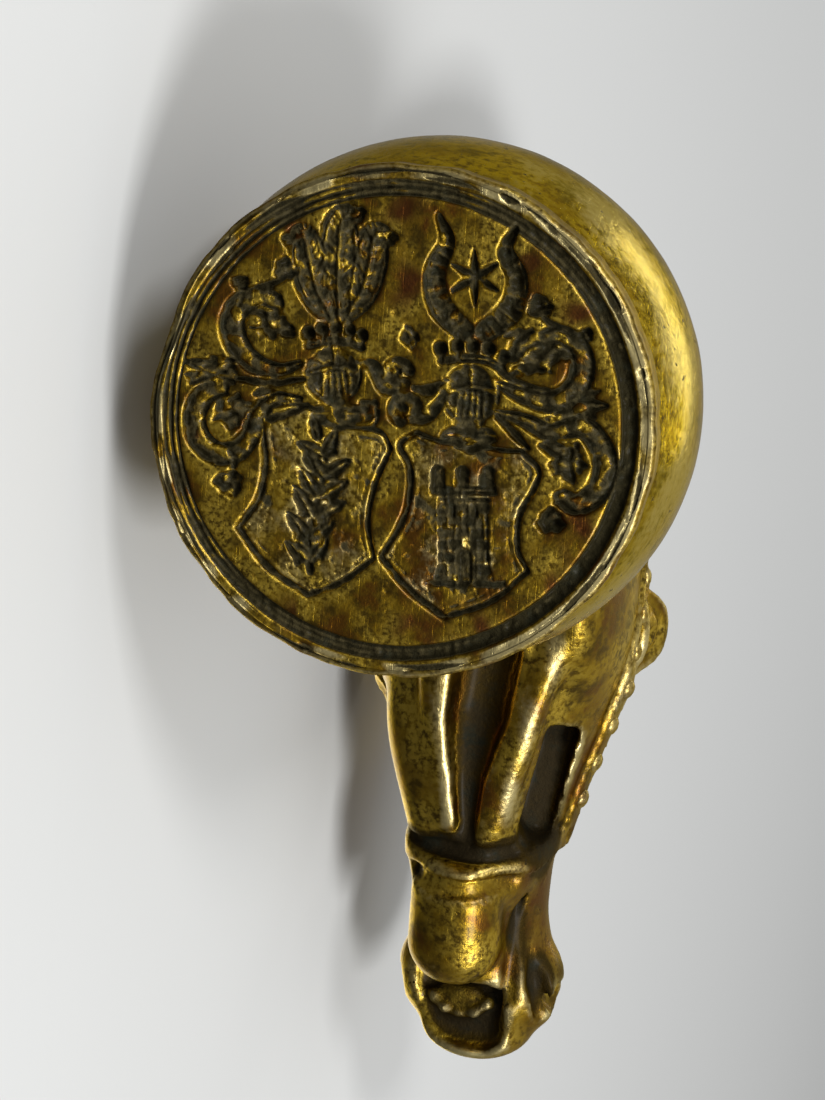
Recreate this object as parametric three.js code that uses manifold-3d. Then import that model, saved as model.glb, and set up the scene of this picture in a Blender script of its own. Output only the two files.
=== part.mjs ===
// A brass desk seal: an engraved round die under a turned foot, with a bridled horse's head as its handle.
// Millimetres, +Z up. The seal stands on its sealing face, whose centre is the origin. The nose points to -Y.
import * as THREE from "three";
import { mergeVertices } from "three/addons/utils/BufferGeometryUtils.js";
import Module from "manifold-3d";

const wasm = await Module();
wasm.setup();

// Driving dimensions.
const FIT = {
  seat: 0.1, // left between two faces that meet
  shaft: 0.15, // left round a rod or a dowel in its hole
  overrun: 0.6, // how far a cutting body runs past the face it opens
};

const DIE = {
  radius: 13,
  thickness: 2.4,
  chamferWidth: 0.41,
  chamferHeight: 0.35,
  grooveInset: 0.8, // from the rim's widest edge to the border groove
  grooveWidth: 0.7,
  grooveDepth: 0.45,
  spigotRadius: 8,
  spigotHeight: 1.6,
  floor: 1.2, // brass left between the stud's hole and the sealing face
};

const SHIELD = {
  width: 6.6,
  height: 8.2,
  depth: 0.35,
  spread: 7.2, // between the two shields' centres
  drop: 4.9, // from the face's centre down to theirs
  tilt: THREE.MathUtils.degToRad(6),
  shift: 0.7, // both stand this far towards the horse's left
};

const FOOT = {
  baseInset: 0.5, // within the die's edge
  bulge: 1.4, // of its widest ring beyond the die's edge
  widestRise: 9.5, // of that ring above the foot's base
  topRadius: 8.4,
  height: 15.8, // from the die's back to the collar's seat
};

const COLLAR = {
  radius: 8.9,
  waistRadius: 7.9,
  height: 3,
};

const STUD = {
  radius: 2,
  reach: 11, // how far it stands into the neck
};

const DOWEL = {
  radius: 0.9,
  offset: 5.6, // from the seal's axis
  engagement: 3, // in each of the two pieces that it keys
  dieEngagement: 2.4,
};

const NECK = {
  height: 32,
  depth: 19,
  width: 14.6,
};

const HEAD = {
  length: 51, // poll to upper lip
  depth: 25, // jaw to forehead
  width: 20.6, // across the brows
  pollSetback: 2, // behind the seal's axis
  jawRise: 7.5, // from the foot of the neck up to the jaw
  sideSet: -1.5, // the head stands a little to one side of the seal's axis
};

// Places on the head are shares of its length from the poll and of its depth from the jaw.
const MUZZLE = { width: 10.6, length: 12.4, depth: 9.8, riseShare: 0.344 };
const CHIN = { width: 7.6, length: 10.6, depth: 8.2, alongShare: 0.755, riseShare: 0.132 };
const MOUTH = { length: 15, gap: 1.7, riseShare: 0.176 };
const NOSTRIL = { width: 2.6, length: 4.2, depth: 3.4, alongShare: 0.894, riseShare: 0.32 };
const JAW_GROOVE = { width: 4.6, length: 25, depth: 11, alongShare: 0.404, riseShare: -0.024 };
const CHEEK_HOLLOW = { width: 3.4, length: 9.6, depth: 8, alongShare: 0.592, riseShare: 0.256 };
const EYE = { radius: 2.3, proud: 1, alongShare: 0.42, riseShare: 0.6 };
const EAR = { radius: 2.3, height: 8.4, spread: 4.1, setback: 1.2, lean: 0.28, riseShare: 0.9 };
const STRAP = { width: 2.3, thickness: 0.9, noseShare: 0.675, throatShare: 0.265, pollShare: 0.16 };
const MANE = { thickness: 4.4, proud: 1.6, locks: 7 };

// How finely round things are cut.
const TURNED_SIDES = 60;
const ROD_SIDES = 28;
const BALL_SIDES = 20;
const HEAD_SIDES = 28;
const HEAD_RINGS = 26;
const NECK_RINGS = 14;
const MANE_STEPS = 6;
const BEAD_STEPS = 10;
const FLANK_STEPS = 9;
const STRAP_STEPS = 9;
const SHIELD_STEPS = 5;

// Heights that follow from the sizes above.
const footBase = DIE.thickness + FIT.seat;
const footTop = footBase + FOOT.height;
const footWidest = footBase + FOOT.widestRise;
const collarBase = footTop + FIT.seat;
const collarTop = collarBase + COLLAR.height;
const neckBase = collarTop + FIT.seat;
const studBase = DIE.floor + FIT.seat;
const studTop = neckBase + STUD.reach;
const jawHeight = neckBase + HEAD.jawRise;

const metal = (colour, roughness) =>
  new THREE.MeshStandardMaterial({ color: colour, roughness, metalness: 1 });

// A closed geometry as a solid that can be joined and cut.
function solid(geometry) {
  const bare = geometry.clone();
  bare.deleteAttribute("normal");
  bare.deleteAttribute("uv");
  const merged = mergeVertices(bare);
  return new wasm.Manifold(
    new wasm.Mesh({
      numProp: 3,
      vertProperties: merged.attributes.position.array,
      triVerts: new Uint32Array(merged.index.array),
    }),
  );
}

// A solid as a named mesh.
function piece(name, body, material) {
  const mesh = body.getMesh();
  const geometry = new THREE.BufferGeometry();
  geometry.setAttribute("position", new THREE.BufferAttribute(new Float32Array(mesh.vertProperties), 3));
  geometry.setIndex(new THREE.BufferAttribute(new Uint32Array(mesh.triVerts), 1));
  geometry.computeVertexNormals();
  const made = new THREE.Mesh(geometry, material);
  made.name = name;
  return made;
}

// A profile of [radius, height] pairs turned round the seal's axis.
function turned(profile, sides = TURNED_SIDES) {
  const points = profile.map(([radius, height]) => new THREE.Vector2(radius, height));
  return new THREE.LatheGeometry(points, sides).rotateX(Math.PI / 2);
}

// A round rod between two heights, its axis at x, y.
function rod(radius, low, high, x = 0, y = 0) {
  const bar = new THREE.CylinderGeometry(radius, radius, high - low, ROD_SIDES);
  return solid(bar.rotateX(Math.PI / 2).translate(x, y, (low + high) / 2));
}

// An egg of the given full sizes.
function egg(width, length, depth, x, y, z) {
  const ball = new THREE.SphereGeometry(1, BALL_SIDES, BALL_SIDES / 2);
  return solid(ball.scale(width / 2, length / 2, depth / 2).translate(x, y, z));
}

// A skin over rings of equal counts, closed at both ends by a fan.
function lofted(rings) {
  const count = rings[0].length;
  const points = rings.flat();
  const faces = [];
  for (let ring = 0; ring + 1 < rings.length; ring += 1) {
    for (let side = 0; side < count; side += 1) {
      const next = (side + 1) % count;
      const a = ring * count + side;
      const b = ring * count + next;
      faces.push(a, b, a + count, b, b + count, a + count);
    }
  }
  for (const [ring, outward] of [[0, false], [rings.length - 1, true]]) {
    const middle = new THREE.Vector3();
    rings[ring].forEach((point) => middle.add(point));
    const hub = points.push(middle.divideScalar(count)) - 1;
    for (let side = 0; side < count; side += 1) {
      const a = ring * count + side;
      const b = ring * count + ((side + 1) % count);
      faces.push(hub, outward ? a : b, outward ? b : a);
    }
  }
  const geometry = new THREE.BufferGeometry().setFromPoints(points);
  geometry.setIndex(faces);
  return geometry;
}

// Smooth curves through a table of shares, one for each column. Its rows are evenly spaced from 0 to 1.
function smoothRows(shares) {
  const last = shares.length - 1;
  const curves = shares[0].map((_, column) => {
    const points = shares.map((row, index) => new THREE.Vector2(index / last, row[column]));
    return new THREE.SplineCurve(points);
  });
  return (share) => curves.map((curve) => curve.getPoint(share).y);
}

// A shield with drawn-in sides and a pointed foot, seen from below.
function shieldOutline() {
  const half = SHIELD.width / 2;
  const low = -SHIELD.height / 2;
  const high = SHIELD.height / 2;
  const waistShare = 0.82;
  const shoulderShare = 0.3;
  const hipShare = 0.25;
  const outline = new THREE.Shape();
  outline.moveTo(-half, high);
  outline.quadraticCurveTo(-half * waistShare, high * shoulderShare, -half, low * hipShare);
  outline.quadraticCurveTo(-half * waistShare, low * waistShare, 0, low);
  outline.quadraticCurveTo(half * waistShare, low * waistShare, half, low * hipShare);
  outline.quadraticCurveTo(half * waistShare, high * shoulderShare, half, high);
  outline.closePath();
  return outline;
}

function sunkShield(side) {
  const cut = new THREE.ExtrudeGeometry(shieldOutline(), {
    depth: SHIELD.depth + FIT.overrun,
    bevelEnabled: false,
    curveSegments: SHIELD_STEPS,
  });
  cut.rotateZ(side * SHIELD.tilt);
  return solid(cut.translate(SHIELD.shift + (side * SHIELD.spread) / 2, -SHIELD.drop, -FIT.overrun));
}

// The engraved die: a chamfered disc with its border groove, two sunk shields and a spigot on its back.
function matrixPlate() {
  const grooveOuter = DIE.radius - DIE.grooveInset;
  const grooveInner = grooveOuter - DIE.grooveWidth;
  let body = solid(turned([
    [0, 0],
    [grooveInner, 0],
    [(grooveInner + grooveOuter) / 2, DIE.grooveDepth],
    [grooveOuter, 0],
    [DIE.radius - DIE.chamferWidth, 0],
    [DIE.radius, DIE.chamferHeight],
    [DIE.radius, DIE.thickness],
    [DIE.spigotRadius, DIE.thickness],
    [DIE.spigotRadius, DIE.thickness + DIE.spigotHeight],
    [0, DIE.thickness + DIE.spigotHeight],
  ]));
  body = body.subtract(sunkShield(1)).subtract(sunkShield(-1));
  const back = DIE.thickness + DIE.spigotHeight + FIT.overrun;
  return body.subtract(studHole(DIE.floor, back)).subtract(dieDowelHole(back));
}

// The dowel between die and foot stands in the spigot, towards the nose.
const dieDowelBase = DIE.thickness + DIE.spigotHeight - DOWEL.dieEngagement;
const dieDowelTop = DIE.thickness + DIE.spigotHeight + DOWEL.engagement;

function dieDowelHole(top) {
  return rod(DOWEL.radius + FIT.shaft, dieDowelBase - FIT.seat, top, 0, -DOWEL.offset);
}

// The dowel between foot, collar and neck stands towards the mane.
const neckDowelBase = footTop - DOWEL.engagement;
const neckDowelTop = neckBase + DOWEL.engagement;

function neckDowelHole() {
  const low = neckDowelBase - FIT.seat;
  return rod(DOWEL.radius + FIT.shaft, low, neckDowelTop + FIT.seat, 0, DOWEL.offset);
}

function studHole(low, high) {
  return rod(STUD.radius + FIT.shaft, low, high);
}

// The foot's flank: a flaring curve up to its widest ring, then a rounded shoulder in to the collar.
function footFlank() {
  const baseRadius = DIE.radius - FOOT.baseInset;
  const widestRadius = DIE.radius + FOOT.bulge;
  const fall = footTop - footWidest;
  const flareShare = 0.55;
  const shoulderShare = 0.62;
  const lower = new THREE.QuadraticBezierCurve(
    new THREE.Vector2(baseRadius, footBase),
    new THREE.Vector2(widestRadius, footBase + FOOT.widestRise * flareShare),
    new THREE.Vector2(widestRadius, footWidest),
  );
  const upper = new THREE.CubicBezierCurve(
    new THREE.Vector2(widestRadius, footWidest),
    new THREE.Vector2(widestRadius, footWidest + fall * shoulderShare),
    new THREE.Vector2(FOOT.topRadius + (widestRadius - FOOT.topRadius) * shoulderShare, footTop),
    new THREE.Vector2(FOOT.topRadius, footTop),
  );
  const points = [...lower.getPoints(FLANK_STEPS), ...upper.getPoints(FLANK_STEPS).slice(1)];
  return points.map((point) => [point.x, point.y]);
}

function footDome() {
  const recessRadius = DIE.spigotRadius + FIT.shaft;
  const recessTop = DIE.thickness + DIE.spigotHeight + FIT.seat;
  const bore = STUD.radius + FIT.shaft;
  const body = solid(turned([
    [bore, recessTop],
    [recessRadius, recessTop],
    [recessRadius, footBase],
    ...footFlank(),
    [bore, footTop],
    [bore, recessTop],
  ]));
  return body.subtract(dieDowelHole(dieDowelTop + FIT.seat)).subtract(neckDowelHole());
}

// The collar: one round bead that covers the joint of foot and neck.
function neckCollar() {
  const bore = STUD.radius + FIT.shaft;
  const bead = COLLAR.radius - COLLAR.waistRadius;
  const outline = Array.from({ length: BEAD_STEPS + 1 }, (_, step) => {
    const share = step / BEAD_STEPS;
    const radius = COLLAR.waistRadius + bead * Math.sin(share * Math.PI);
    return [radius, collarBase + share * COLLAR.height];
  });
  const body = solid(turned([[bore, collarBase], ...outline, [bore, collarTop], [bore, collarBase]]));
  return body.subtract(neckDowelHole());
}

// The head's evenly spaced stations from poll to lip.
// Shares: top, bottom, half width, jaw taper, crown taper.
const headShares = [
  [0.9, 0.55, 0.26, 0.2, 0.3],
  [1.03, 0.18, 0.365, 0.36, 0.35],
  [1.05, 0.01, 0.41, 0.52, 0.35],
  [1, -0.03, 0.425, 0.57, 0.35],
  [0.91, -0.01, 0.44, 0.6, 0.35],
  [0.815, 0.01, 0.385, 0.59, 0.35],
  [0.72, 0.03, 0.29, 0.52, 0.32],
  [0.63, 0.07, 0.225, 0.42, 0.28],
  [0.56, 0.15, 0.22, 0.34, 0.25],
  [0.51, 0.2, 0.235, 0.25, 0.25],
  [0.46, 0.26, 0.16, 0.1, 0.1],
];
const headAt = smoothRows(headShares);
const alongHead = (share) => HEAD.pollSetback - share * HEAD.length;
const upHead = (share) => jawHeight + share * HEAD.depth;

function headRing(share, swell = 0) {
  const [top, bottom, halfWidth, jawTaper, crownTaper] = headAt(share);
  const y = alongHead(share);
  const high = upHead(top) + swell;
  const low = upHead(bottom) - swell;
  const half = halfWidth * HEAD.width + swell;
  const roundness = 0.8;
  return Array.from({ length: HEAD_SIDES }, (_, side) => {
    const angle = (side / HEAD_SIDES) * 2 * Math.PI;
    const across = Math.cos(angle);
    const up = Math.sin(angle);
    const taper = 1 - (up < 0 ? jawTaper : crownTaper) * up * up;
    const x = HEAD.sideSet + Math.sign(across) * Math.abs(across) ** roundness * half * taper;
    return new THREE.Vector3(x, y, (high + low) / 2 + (up * (high - low)) / 2);
  });
}

// The loft stops inside the rounded muzzle.
function headLoft() {
  const endShare = 0.94;
  const shares = Array.from({ length: HEAD_RINGS + 1 }, (_, ring) => (endShare * ring) / HEAD_RINGS);
  return solid(lofted(shares.map((share) => headRing(share))));
}

// The neck's evenly spaced stations from collar to poll.
// Shares: middle, half depth, half width, shift to the side.
const neckShares = [
  [0, 0.41, 0.534, 0],
  [0, 0.425, 0.49, 0.15],
  [0.05, 0.475, 0.46, 0.45],
  [0.07, 0.5, 0.46, 0.8],
  [0.08, 0.485, 0.455, 1],
  [0.07, 0.43, 0.41, 1],
  [-0.02, 0.22, 0.24, 1],
];
const neckAt = smoothRows(neckShares);

function neckRing(share) {
  const [middle, halfDepth, halfWidth, aside] = neckAt(share);
  return Array.from({ length: HEAD_SIDES }, (_, side) => {
    const angle = (side / HEAD_SIDES) * 2 * Math.PI;
    const x = aside * HEAD.sideSet + halfWidth * NECK.width * Math.cos(angle);
    const y = middle * NECK.depth + halfDepth * NECK.depth * Math.sin(angle);
    return new THREE.Vector3(x, y, neckBase + share * NECK.height);
  });
}

function neckLoft() {
  const shares = Array.from({ length: NECK_RINGS + 1 }, (_, ring) => ring / NECK_RINGS);
  return solid(lofted(shares.map(neckRing)));
}

// The mane: a scalloped crest that follows the back of the neck.
function mane() {
  const back = (share) => {
    const [middle, halfDepth] = neckAt(share);
    return new THREE.Vector2((middle + halfDepth) * NECK.depth, neckBase + share * NECK.height);
  };
  const total = MANE.locks * MANE_STEPS;
  const startShare = 0.1;
  const rootShare = 0.4;
  const along = (step) => startShare + (1 - startShare) * (step / total);
  const outer = Array.from({ length: total + 1 }, (_, step) => {
    const lock = (step % MANE_STEPS) / MANE_STEPS;
    const fade = Math.sin((step / total) * Math.PI) ** rootShare;
    const point = back(along(step));
    return new THREE.Vector2(point.x + MANE.proud * fade * (1 - lock * rootShare), point.y);
  });
  const inner = [back(1), back(along(total / 2)), back(startShare)];
  inner.forEach((point) => point.setX(point.x - MANE.proud));
  const crest = new THREE.ExtrudeGeometry(new THREE.Shape([...outer, ...inner]), {
    depth: MANE.thickness,
    bevelEnabled: false,
  });
  crest.rotateX(Math.PI / 2).rotateZ(Math.PI / 2);
  return solid(crest.translate(HEAD.sideSet - MANE.thickness / 2, 0, 0));
}

// A strap round the head at one station, standing a little proud of it.
function strapRound(share) {
  const reach = STRAP.width / 2 / HEAD.length;
  return solid(lofted([share - reach, share + reach].map((at) => headRing(at, STRAP.thickness))));
}

// The strap down each cheek, from the poll to the noseband.
function cheekStrap(side) {
  const dropShare = 0.06;
  const rows = Array.from({ length: STRAP_STEPS + 1 }, (_, step) => {
    const share = STRAP.pollShare + (STRAP.noseShare - STRAP.pollShare) * (step / STRAP_STEPS);
    const [top, bottom, halfWidth] = headAt(share);
    const middle = upHead((top + bottom) / 2 - dropShare);
    const skin = HEAD.sideSet + side * halfWidth * HEAD.width;
    const y = alongHead(share);
    const inner = skin - side * STRAP.width;
    const outer = skin + side * STRAP.thickness / 2;
    const low = middle - STRAP.width / 2;
    const high = middle + STRAP.width / 2;
    const corners = [[inner, low], [outer, low], [outer, high], [inner, high]];
    const turn = side > 0 ? corners : corners.reverse();
    return turn.map(([x, z]) => new THREE.Vector3(x, y, z));
  });
  return solid(lofted(rows));
}

function ear(side) {
  const profileShares = [[0, 0], [0.8, 0], [1, 0.25], [0.75, 0.6], [0.3, 0.92], [0, 1]];
  const profile = profileShares.map(([radius, height]) => [radius * EAR.radius, height * EAR.height]);
  const cone = turned(profile, BALL_SIDES);
  cone.rotateY(side * EAR.lean);
  return solid(cone.translate(HEAD.sideSet + side * EAR.spread, EAR.setback, upHead(EAR.riseShare)));
}

// An egg-shaped feature of the head at its named place, set to one side by a distance from the middle.
function featureEgg(feature, aside = 0) {
  const { width, length, depth, alongShare, riseShare } = feature;
  return egg(width, length, depth, HEAD.sideSet + aside, alongHead(alongShare), upHead(riseShare));
}

function eye(side) {
  const [, , halfWidth] = headAt(EYE.alongShare);
  const size = EYE.radius * 2;
  const aside = halfWidth * HEAD.width + EYE.proud - EYE.radius;
  return featureEgg({ width: size, length: size, depth: size, ...EYE }, side * aside);
}

// The rounded front of the muzzle reaches the lip, and the mouth is a slit from there.
function muzzle() {
  const { width, length, depth } = MUZZLE;
  return egg(width, length, depth, HEAD.sideSet, alongHead(1) + length / 2, upHead(MUZZLE.riseShare));
}

function mouth() {
  return egg(HEAD.width, MOUTH.length, MOUTH.gap, HEAD.sideSet, alongHead(1), upHead(MOUTH.riseShare));
}

function cheekHollow(side) {
  const spreadShare = 0.36;
  return featureEgg(CHEEK_HOLLOW, side * spreadShare * HEAD.width);
}

function nostril(side) {
  const spreadShare = 0.48;
  return featureEgg(NOSTRIL, side * spreadShare * MUZZLE.width);
}

// The cast head and neck, with the stud's blind hole and the dowel's hole from below.
function horseHead() {
  const joined = [
    headLoft(),
    neckLoft(),
    mane(),
    strapRound(STRAP.noseShare),
    strapRound(STRAP.throatShare),
    muzzle(),
    featureEgg(CHIN),
    ...[1, -1].flatMap((side) => [cheekStrap(side), ear(side), eye(side)]),
  ];
  const cuts = [
    featureEgg(JAW_GROOVE),
    mouth(),
    ...[1, -1].flatMap((side) => [cheekHollow(side), nostril(side)]),
    studHole(neckBase - FIT.overrun, studTop + FIT.seat),
    neckDowelHole(),
  ];
  const whole = joined.reduce((sum, next) => sum.add(next));
  return cuts.reduce((rest, cut) => rest.subtract(cut), whole);
}

const oldBrass = metal(0x9a7d2c, 0.42);
const polishedBrass = metal(0xb08d35, 0.24);
const steel = metal(0x8b8c8a, 0.4);

const seal = new THREE.Group();
seal.add(
  piece("matrix_plate", matrixPlate(), oldBrass),
  piece("foot_dome", footDome(), polishedBrass),
  piece("neck_collar", neckCollar(), polishedBrass.clone()),
  piece("horse_head", horseHead(), oldBrass.clone()),
  piece("central_stud", rod(STUD.radius, studBase, studTop), steel),
  piece("die_dowel", rod(DOWEL.radius, dieDowelBase, dieDowelTop, 0, -DOWEL.offset), steel.clone()),
  piece("neck_dowel", rod(DOWEL.radius, neckDowelBase, neckDowelTop, 0, DOWEL.offset), steel.clone()),
);

export default seal;
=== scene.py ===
"""The looks of a brass hand seal: an engraved die, a turned foot and a bridled horse's head."""

import math

import bpy
import numpy as np
from mathutils import Matrix, Vector


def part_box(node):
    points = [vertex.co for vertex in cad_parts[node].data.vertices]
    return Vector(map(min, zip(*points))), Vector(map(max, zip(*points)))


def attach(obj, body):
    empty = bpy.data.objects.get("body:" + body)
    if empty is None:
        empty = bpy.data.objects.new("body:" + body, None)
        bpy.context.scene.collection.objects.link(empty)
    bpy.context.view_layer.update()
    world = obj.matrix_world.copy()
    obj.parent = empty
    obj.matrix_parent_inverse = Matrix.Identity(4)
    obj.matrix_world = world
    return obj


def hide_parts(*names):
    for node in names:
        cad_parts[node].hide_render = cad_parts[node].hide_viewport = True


bl_info = {
    "name": "Brass Desk Seal",
    "version": (1, 0, 0),
    "blender": (4, 5, 0),
    "location": "3D View > Sidebar > Seal",
    "description": "Builds the finish and fine shapes of a brass hand seal round its packed parts",
    "category": "Object",
}

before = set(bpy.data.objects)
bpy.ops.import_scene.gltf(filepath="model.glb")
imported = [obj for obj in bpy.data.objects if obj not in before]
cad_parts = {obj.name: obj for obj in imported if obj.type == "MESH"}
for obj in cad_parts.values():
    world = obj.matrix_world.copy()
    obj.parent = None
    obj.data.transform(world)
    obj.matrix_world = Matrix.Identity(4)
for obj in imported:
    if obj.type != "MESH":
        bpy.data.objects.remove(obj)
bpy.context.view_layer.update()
MM = 0.001


def box_mm(node):
    """The lowest and highest corner of a part, in millimetres."""
    low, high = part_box(node)
    return np.array(low) / MM, np.array(high) / MM


DIE_HIGH = box_mm("matrix_plate")[1]
FOOT_LOW, FOOT_HIGH = box_mm("foot_dome")
COLLAR_LOW, COLLAR_HIGH = box_mm("neck_collar")
HEAD_LOW, HEAD_HIGH = box_mm("horse_head")
STUD_LOW, STUD_HIGH = box_mm("central_stud")
DOWEL_LOW, DOWEL_HIGH = box_mm("neck_dowel")

# Sizes that the parts share, in millimetres.
SEAT = 0.1
CLEARANCE = 0.15
STUD_BORE = STUD_HIGH[0] + CLEARANCE
DOWEL_BORE = DOWEL_HIGH[0] + CLEARANCE
DOWEL_PLACE = (DOWEL_LOW[1] + DOWEL_HIGH[1]) / 2
SPIGOT_RADIUS = 8.0
SPIGOT_HEIGHT = 1.6


def linear(colour):
    """An sRGB hex colour as linear red, green, blue and alpha."""
    parts = [int(colour[place:place + 2], 16) / 255 for place in (1, 3, 5)]
    return (*(part / 12.92 if part <= 0.04045 else ((part + 0.055) / 1.055) ** 2.4 for part in parts), 1.0)


# Curves, random swells and meshes.

def ease(share):
    share = np.clip(share, 0, 1)
    return share * share * (3 - 2 * share)


def smooth_rows(rows, per_span=12):
    """A curve through rows of numbers, each column by itself."""
    rows = np.asarray(rows, float)
    padded = np.vstack([2 * rows[0] - rows[1], rows, 2 * rows[-1] - rows[-2]])
    t = np.linspace(0, 1, per_span, endpoint=False)[:, None]
    spans = []
    for before, start, end, after in zip(padded, padded[1:], padded[2:], padded[3:]):
        bend = 2 * before - 5 * start + 4 * end - after
        twist = 3 * start - 3 * end + after - before
        spans.append(start + 0.5 * ((end - before) * t + bend * t ** 2 + twist * t ** 3))
    return np.vstack([*spans, rows[-1:]])


def even_line(rows, step):
    """The curve through rows of places, as rows that lie one step apart."""
    dense = smooth_rows(rows)
    gone = np.concatenate([[0], np.cumsum(np.linalg.norm(np.diff(dense, axis=0), axis=1))])
    places = np.linspace(0, gone[-1], max(2, math.ceil(gone[-1] / step) + 1))
    return np.column_stack([np.interp(places, gone, column) for column in dense.T])


def spread(values, count):
    """A few values as that many, evenly from the first to the last."""
    return np.interp(np.linspace(0, 1, count), np.linspace(0, 1, len(values)), values)


def swell(points, size, seed, waves=18):
    """A smooth random field over points: about one high and about size from crest to crest."""
    rng = np.random.default_rng(seed)
    turns = rng.normal(size=(waves, points.shape[1]))
    turns /= np.linalg.norm(turns, axis=1, keepdims=True)
    turns *= 2 * math.pi / (size * rng.uniform(0.7, 1.6, (waves, 1)))
    phases = rng.uniform(0, 2 * math.pi, waves)
    return np.cos(points @ turns.T + phases).sum(axis=1) * math.sqrt(2 / waves)


def give_attribute(mesh, label, values):
    """Stores one number for each of a mesh's points."""
    stored = mesh.attributes.new(label, "FLOAT", "POINT")
    stored.data.foreach_set("value", np.asarray(values, np.float32))


def mesh_piece(name, points, faces, material, **attributes):
    """A smooth closed piece from points in millimetres, with its faces turned out."""
    corners = [points[np.array([face[k] for face in faces])] for k in range(3)]
    volume = np.einsum("ij,ij->i", corners[0], np.cross(corners[1], corners[2])).sum()
    faces = faces if volume > 0 else [face[::-1] for face in faces]
    mesh = bpy.data.meshes.new(name)
    mesh.from_pydata((points * MM).tolist(), [], faces)
    for label, values in attributes.items():
        give_attribute(mesh, label, values)
    mesh.materials.append(material)
    mesh.shade_smooth()
    return link_piece(name, mesh)


def link_piece(name, mesh):
    piece = bpy.data.objects.new(name, mesh)
    bpy.context.scene.collection.objects.link(piece)
    return piece


def seat(piece, nodes):
    """The piece stands for its nodes and goes with the seal's one body."""
    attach(piece, "root")
    if nodes:
        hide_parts(*nodes)


# Materials. The Map Range node's inputs are: 0 value, 1 and 2 the range it has, 3 and 4 the range it gets.
# The Mix node's are: 0 share, then 6 and 7 two colours, or 2 and 3 two values.

MATH = "ShaderNodeMath"
RANGE = "ShaderNodeMapRange"
NOISE = "ShaderNodeTexNoise"
MIX = "ShaderNodeMix"
SOFT = {"interpolation_type": "SMOOTHSTEP"}
COLOURS = {"data_type": "RGBA"}

# Sizes of the finest marks in the brass, in millimetres, coarser than real so that they show.
PIT_SIZE = 0.55
CRUST_SIZE = 0.3
GRAIN_SIZE = 0.16
SCRATCH_WIDTH, SCRATCH_LENGTH = 0.12, 3.0
CROSSING_WIDTH, CROSSING_LENGTH = 0.09, 2.2
FILING_WIDTH, FILING_LENGTH = 0.1, 4.0
RUST_SIZE = 1.4
FIBRE_SIZE = 1.6


def add(tree, kind, sockets=None, **settings):
    """A node with its settings, and its sockets set or linked. A node is linked by its first output."""
    made = tree.nodes.new(kind)
    for name, value in settings.items():
        setattr(made, name, value)
    for name, value in (sockets or {}).items():
        if isinstance(value, bpy.types.Node):
            value = next(socket for socket in value.outputs if socket.enabled)
        if isinstance(value, bpy.types.NodeSocket):
            tree.links.new(value, made.inputs[name])
        else:
            made.inputs[name].default_value = value
    return made


def per_mm(size):
    """The scale that makes a pattern repeat about every so many millimetres."""
    return 1 / (size * MM)


def new_material(name):
    """An empty material, its tree, and the object's own coordinates in it."""
    material = bpy.data.materials.new(name)
    material.use_nodes = True
    tree = material.node_tree
    tree.nodes.clear()
    place = add(tree, "ShaderNodeTexCoord").outputs["Object"]
    return material, tree, place


def layer(tree, below, above, value, low, high):
    """A colour that gives way to another as a value goes from low to high."""
    share = add(tree, RANGE, {0: value, 1: low, 2: high}, **SOFT)
    return add(tree, MIX, {0: share, 6: below, 7: above}, **COLOURS)


def sum_of(tree, *terms):
    """Weighted values added up. Each term is a value and its weight."""
    total = 0.0
    for value, weight in terms:
        total = add(tree, MATH, {0: value, 1: weight, 2: total}, operation="MULTIPLY_ADD")
    return total


def scratches(tree, place, width, length, turn):
    """Fine straight lines, as noise drawn out along one way on the surface."""
    sockets = {"Vector": place, "Rotation": turn, "Scale": (1.0, width / length, width / length)}
    drawn = add(tree, "ShaderNodeMapping", sockets)
    sockets = {"Vector": drawn, "Scale": per_mm(width), "Detail": 2.0, "Roughness": 0.55}
    lines = add(tree, NOISE, sockets)
    return add(tree, RANGE, {0: lines, 1: 0.62, 2: 0.74}, **SOFT)


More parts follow.
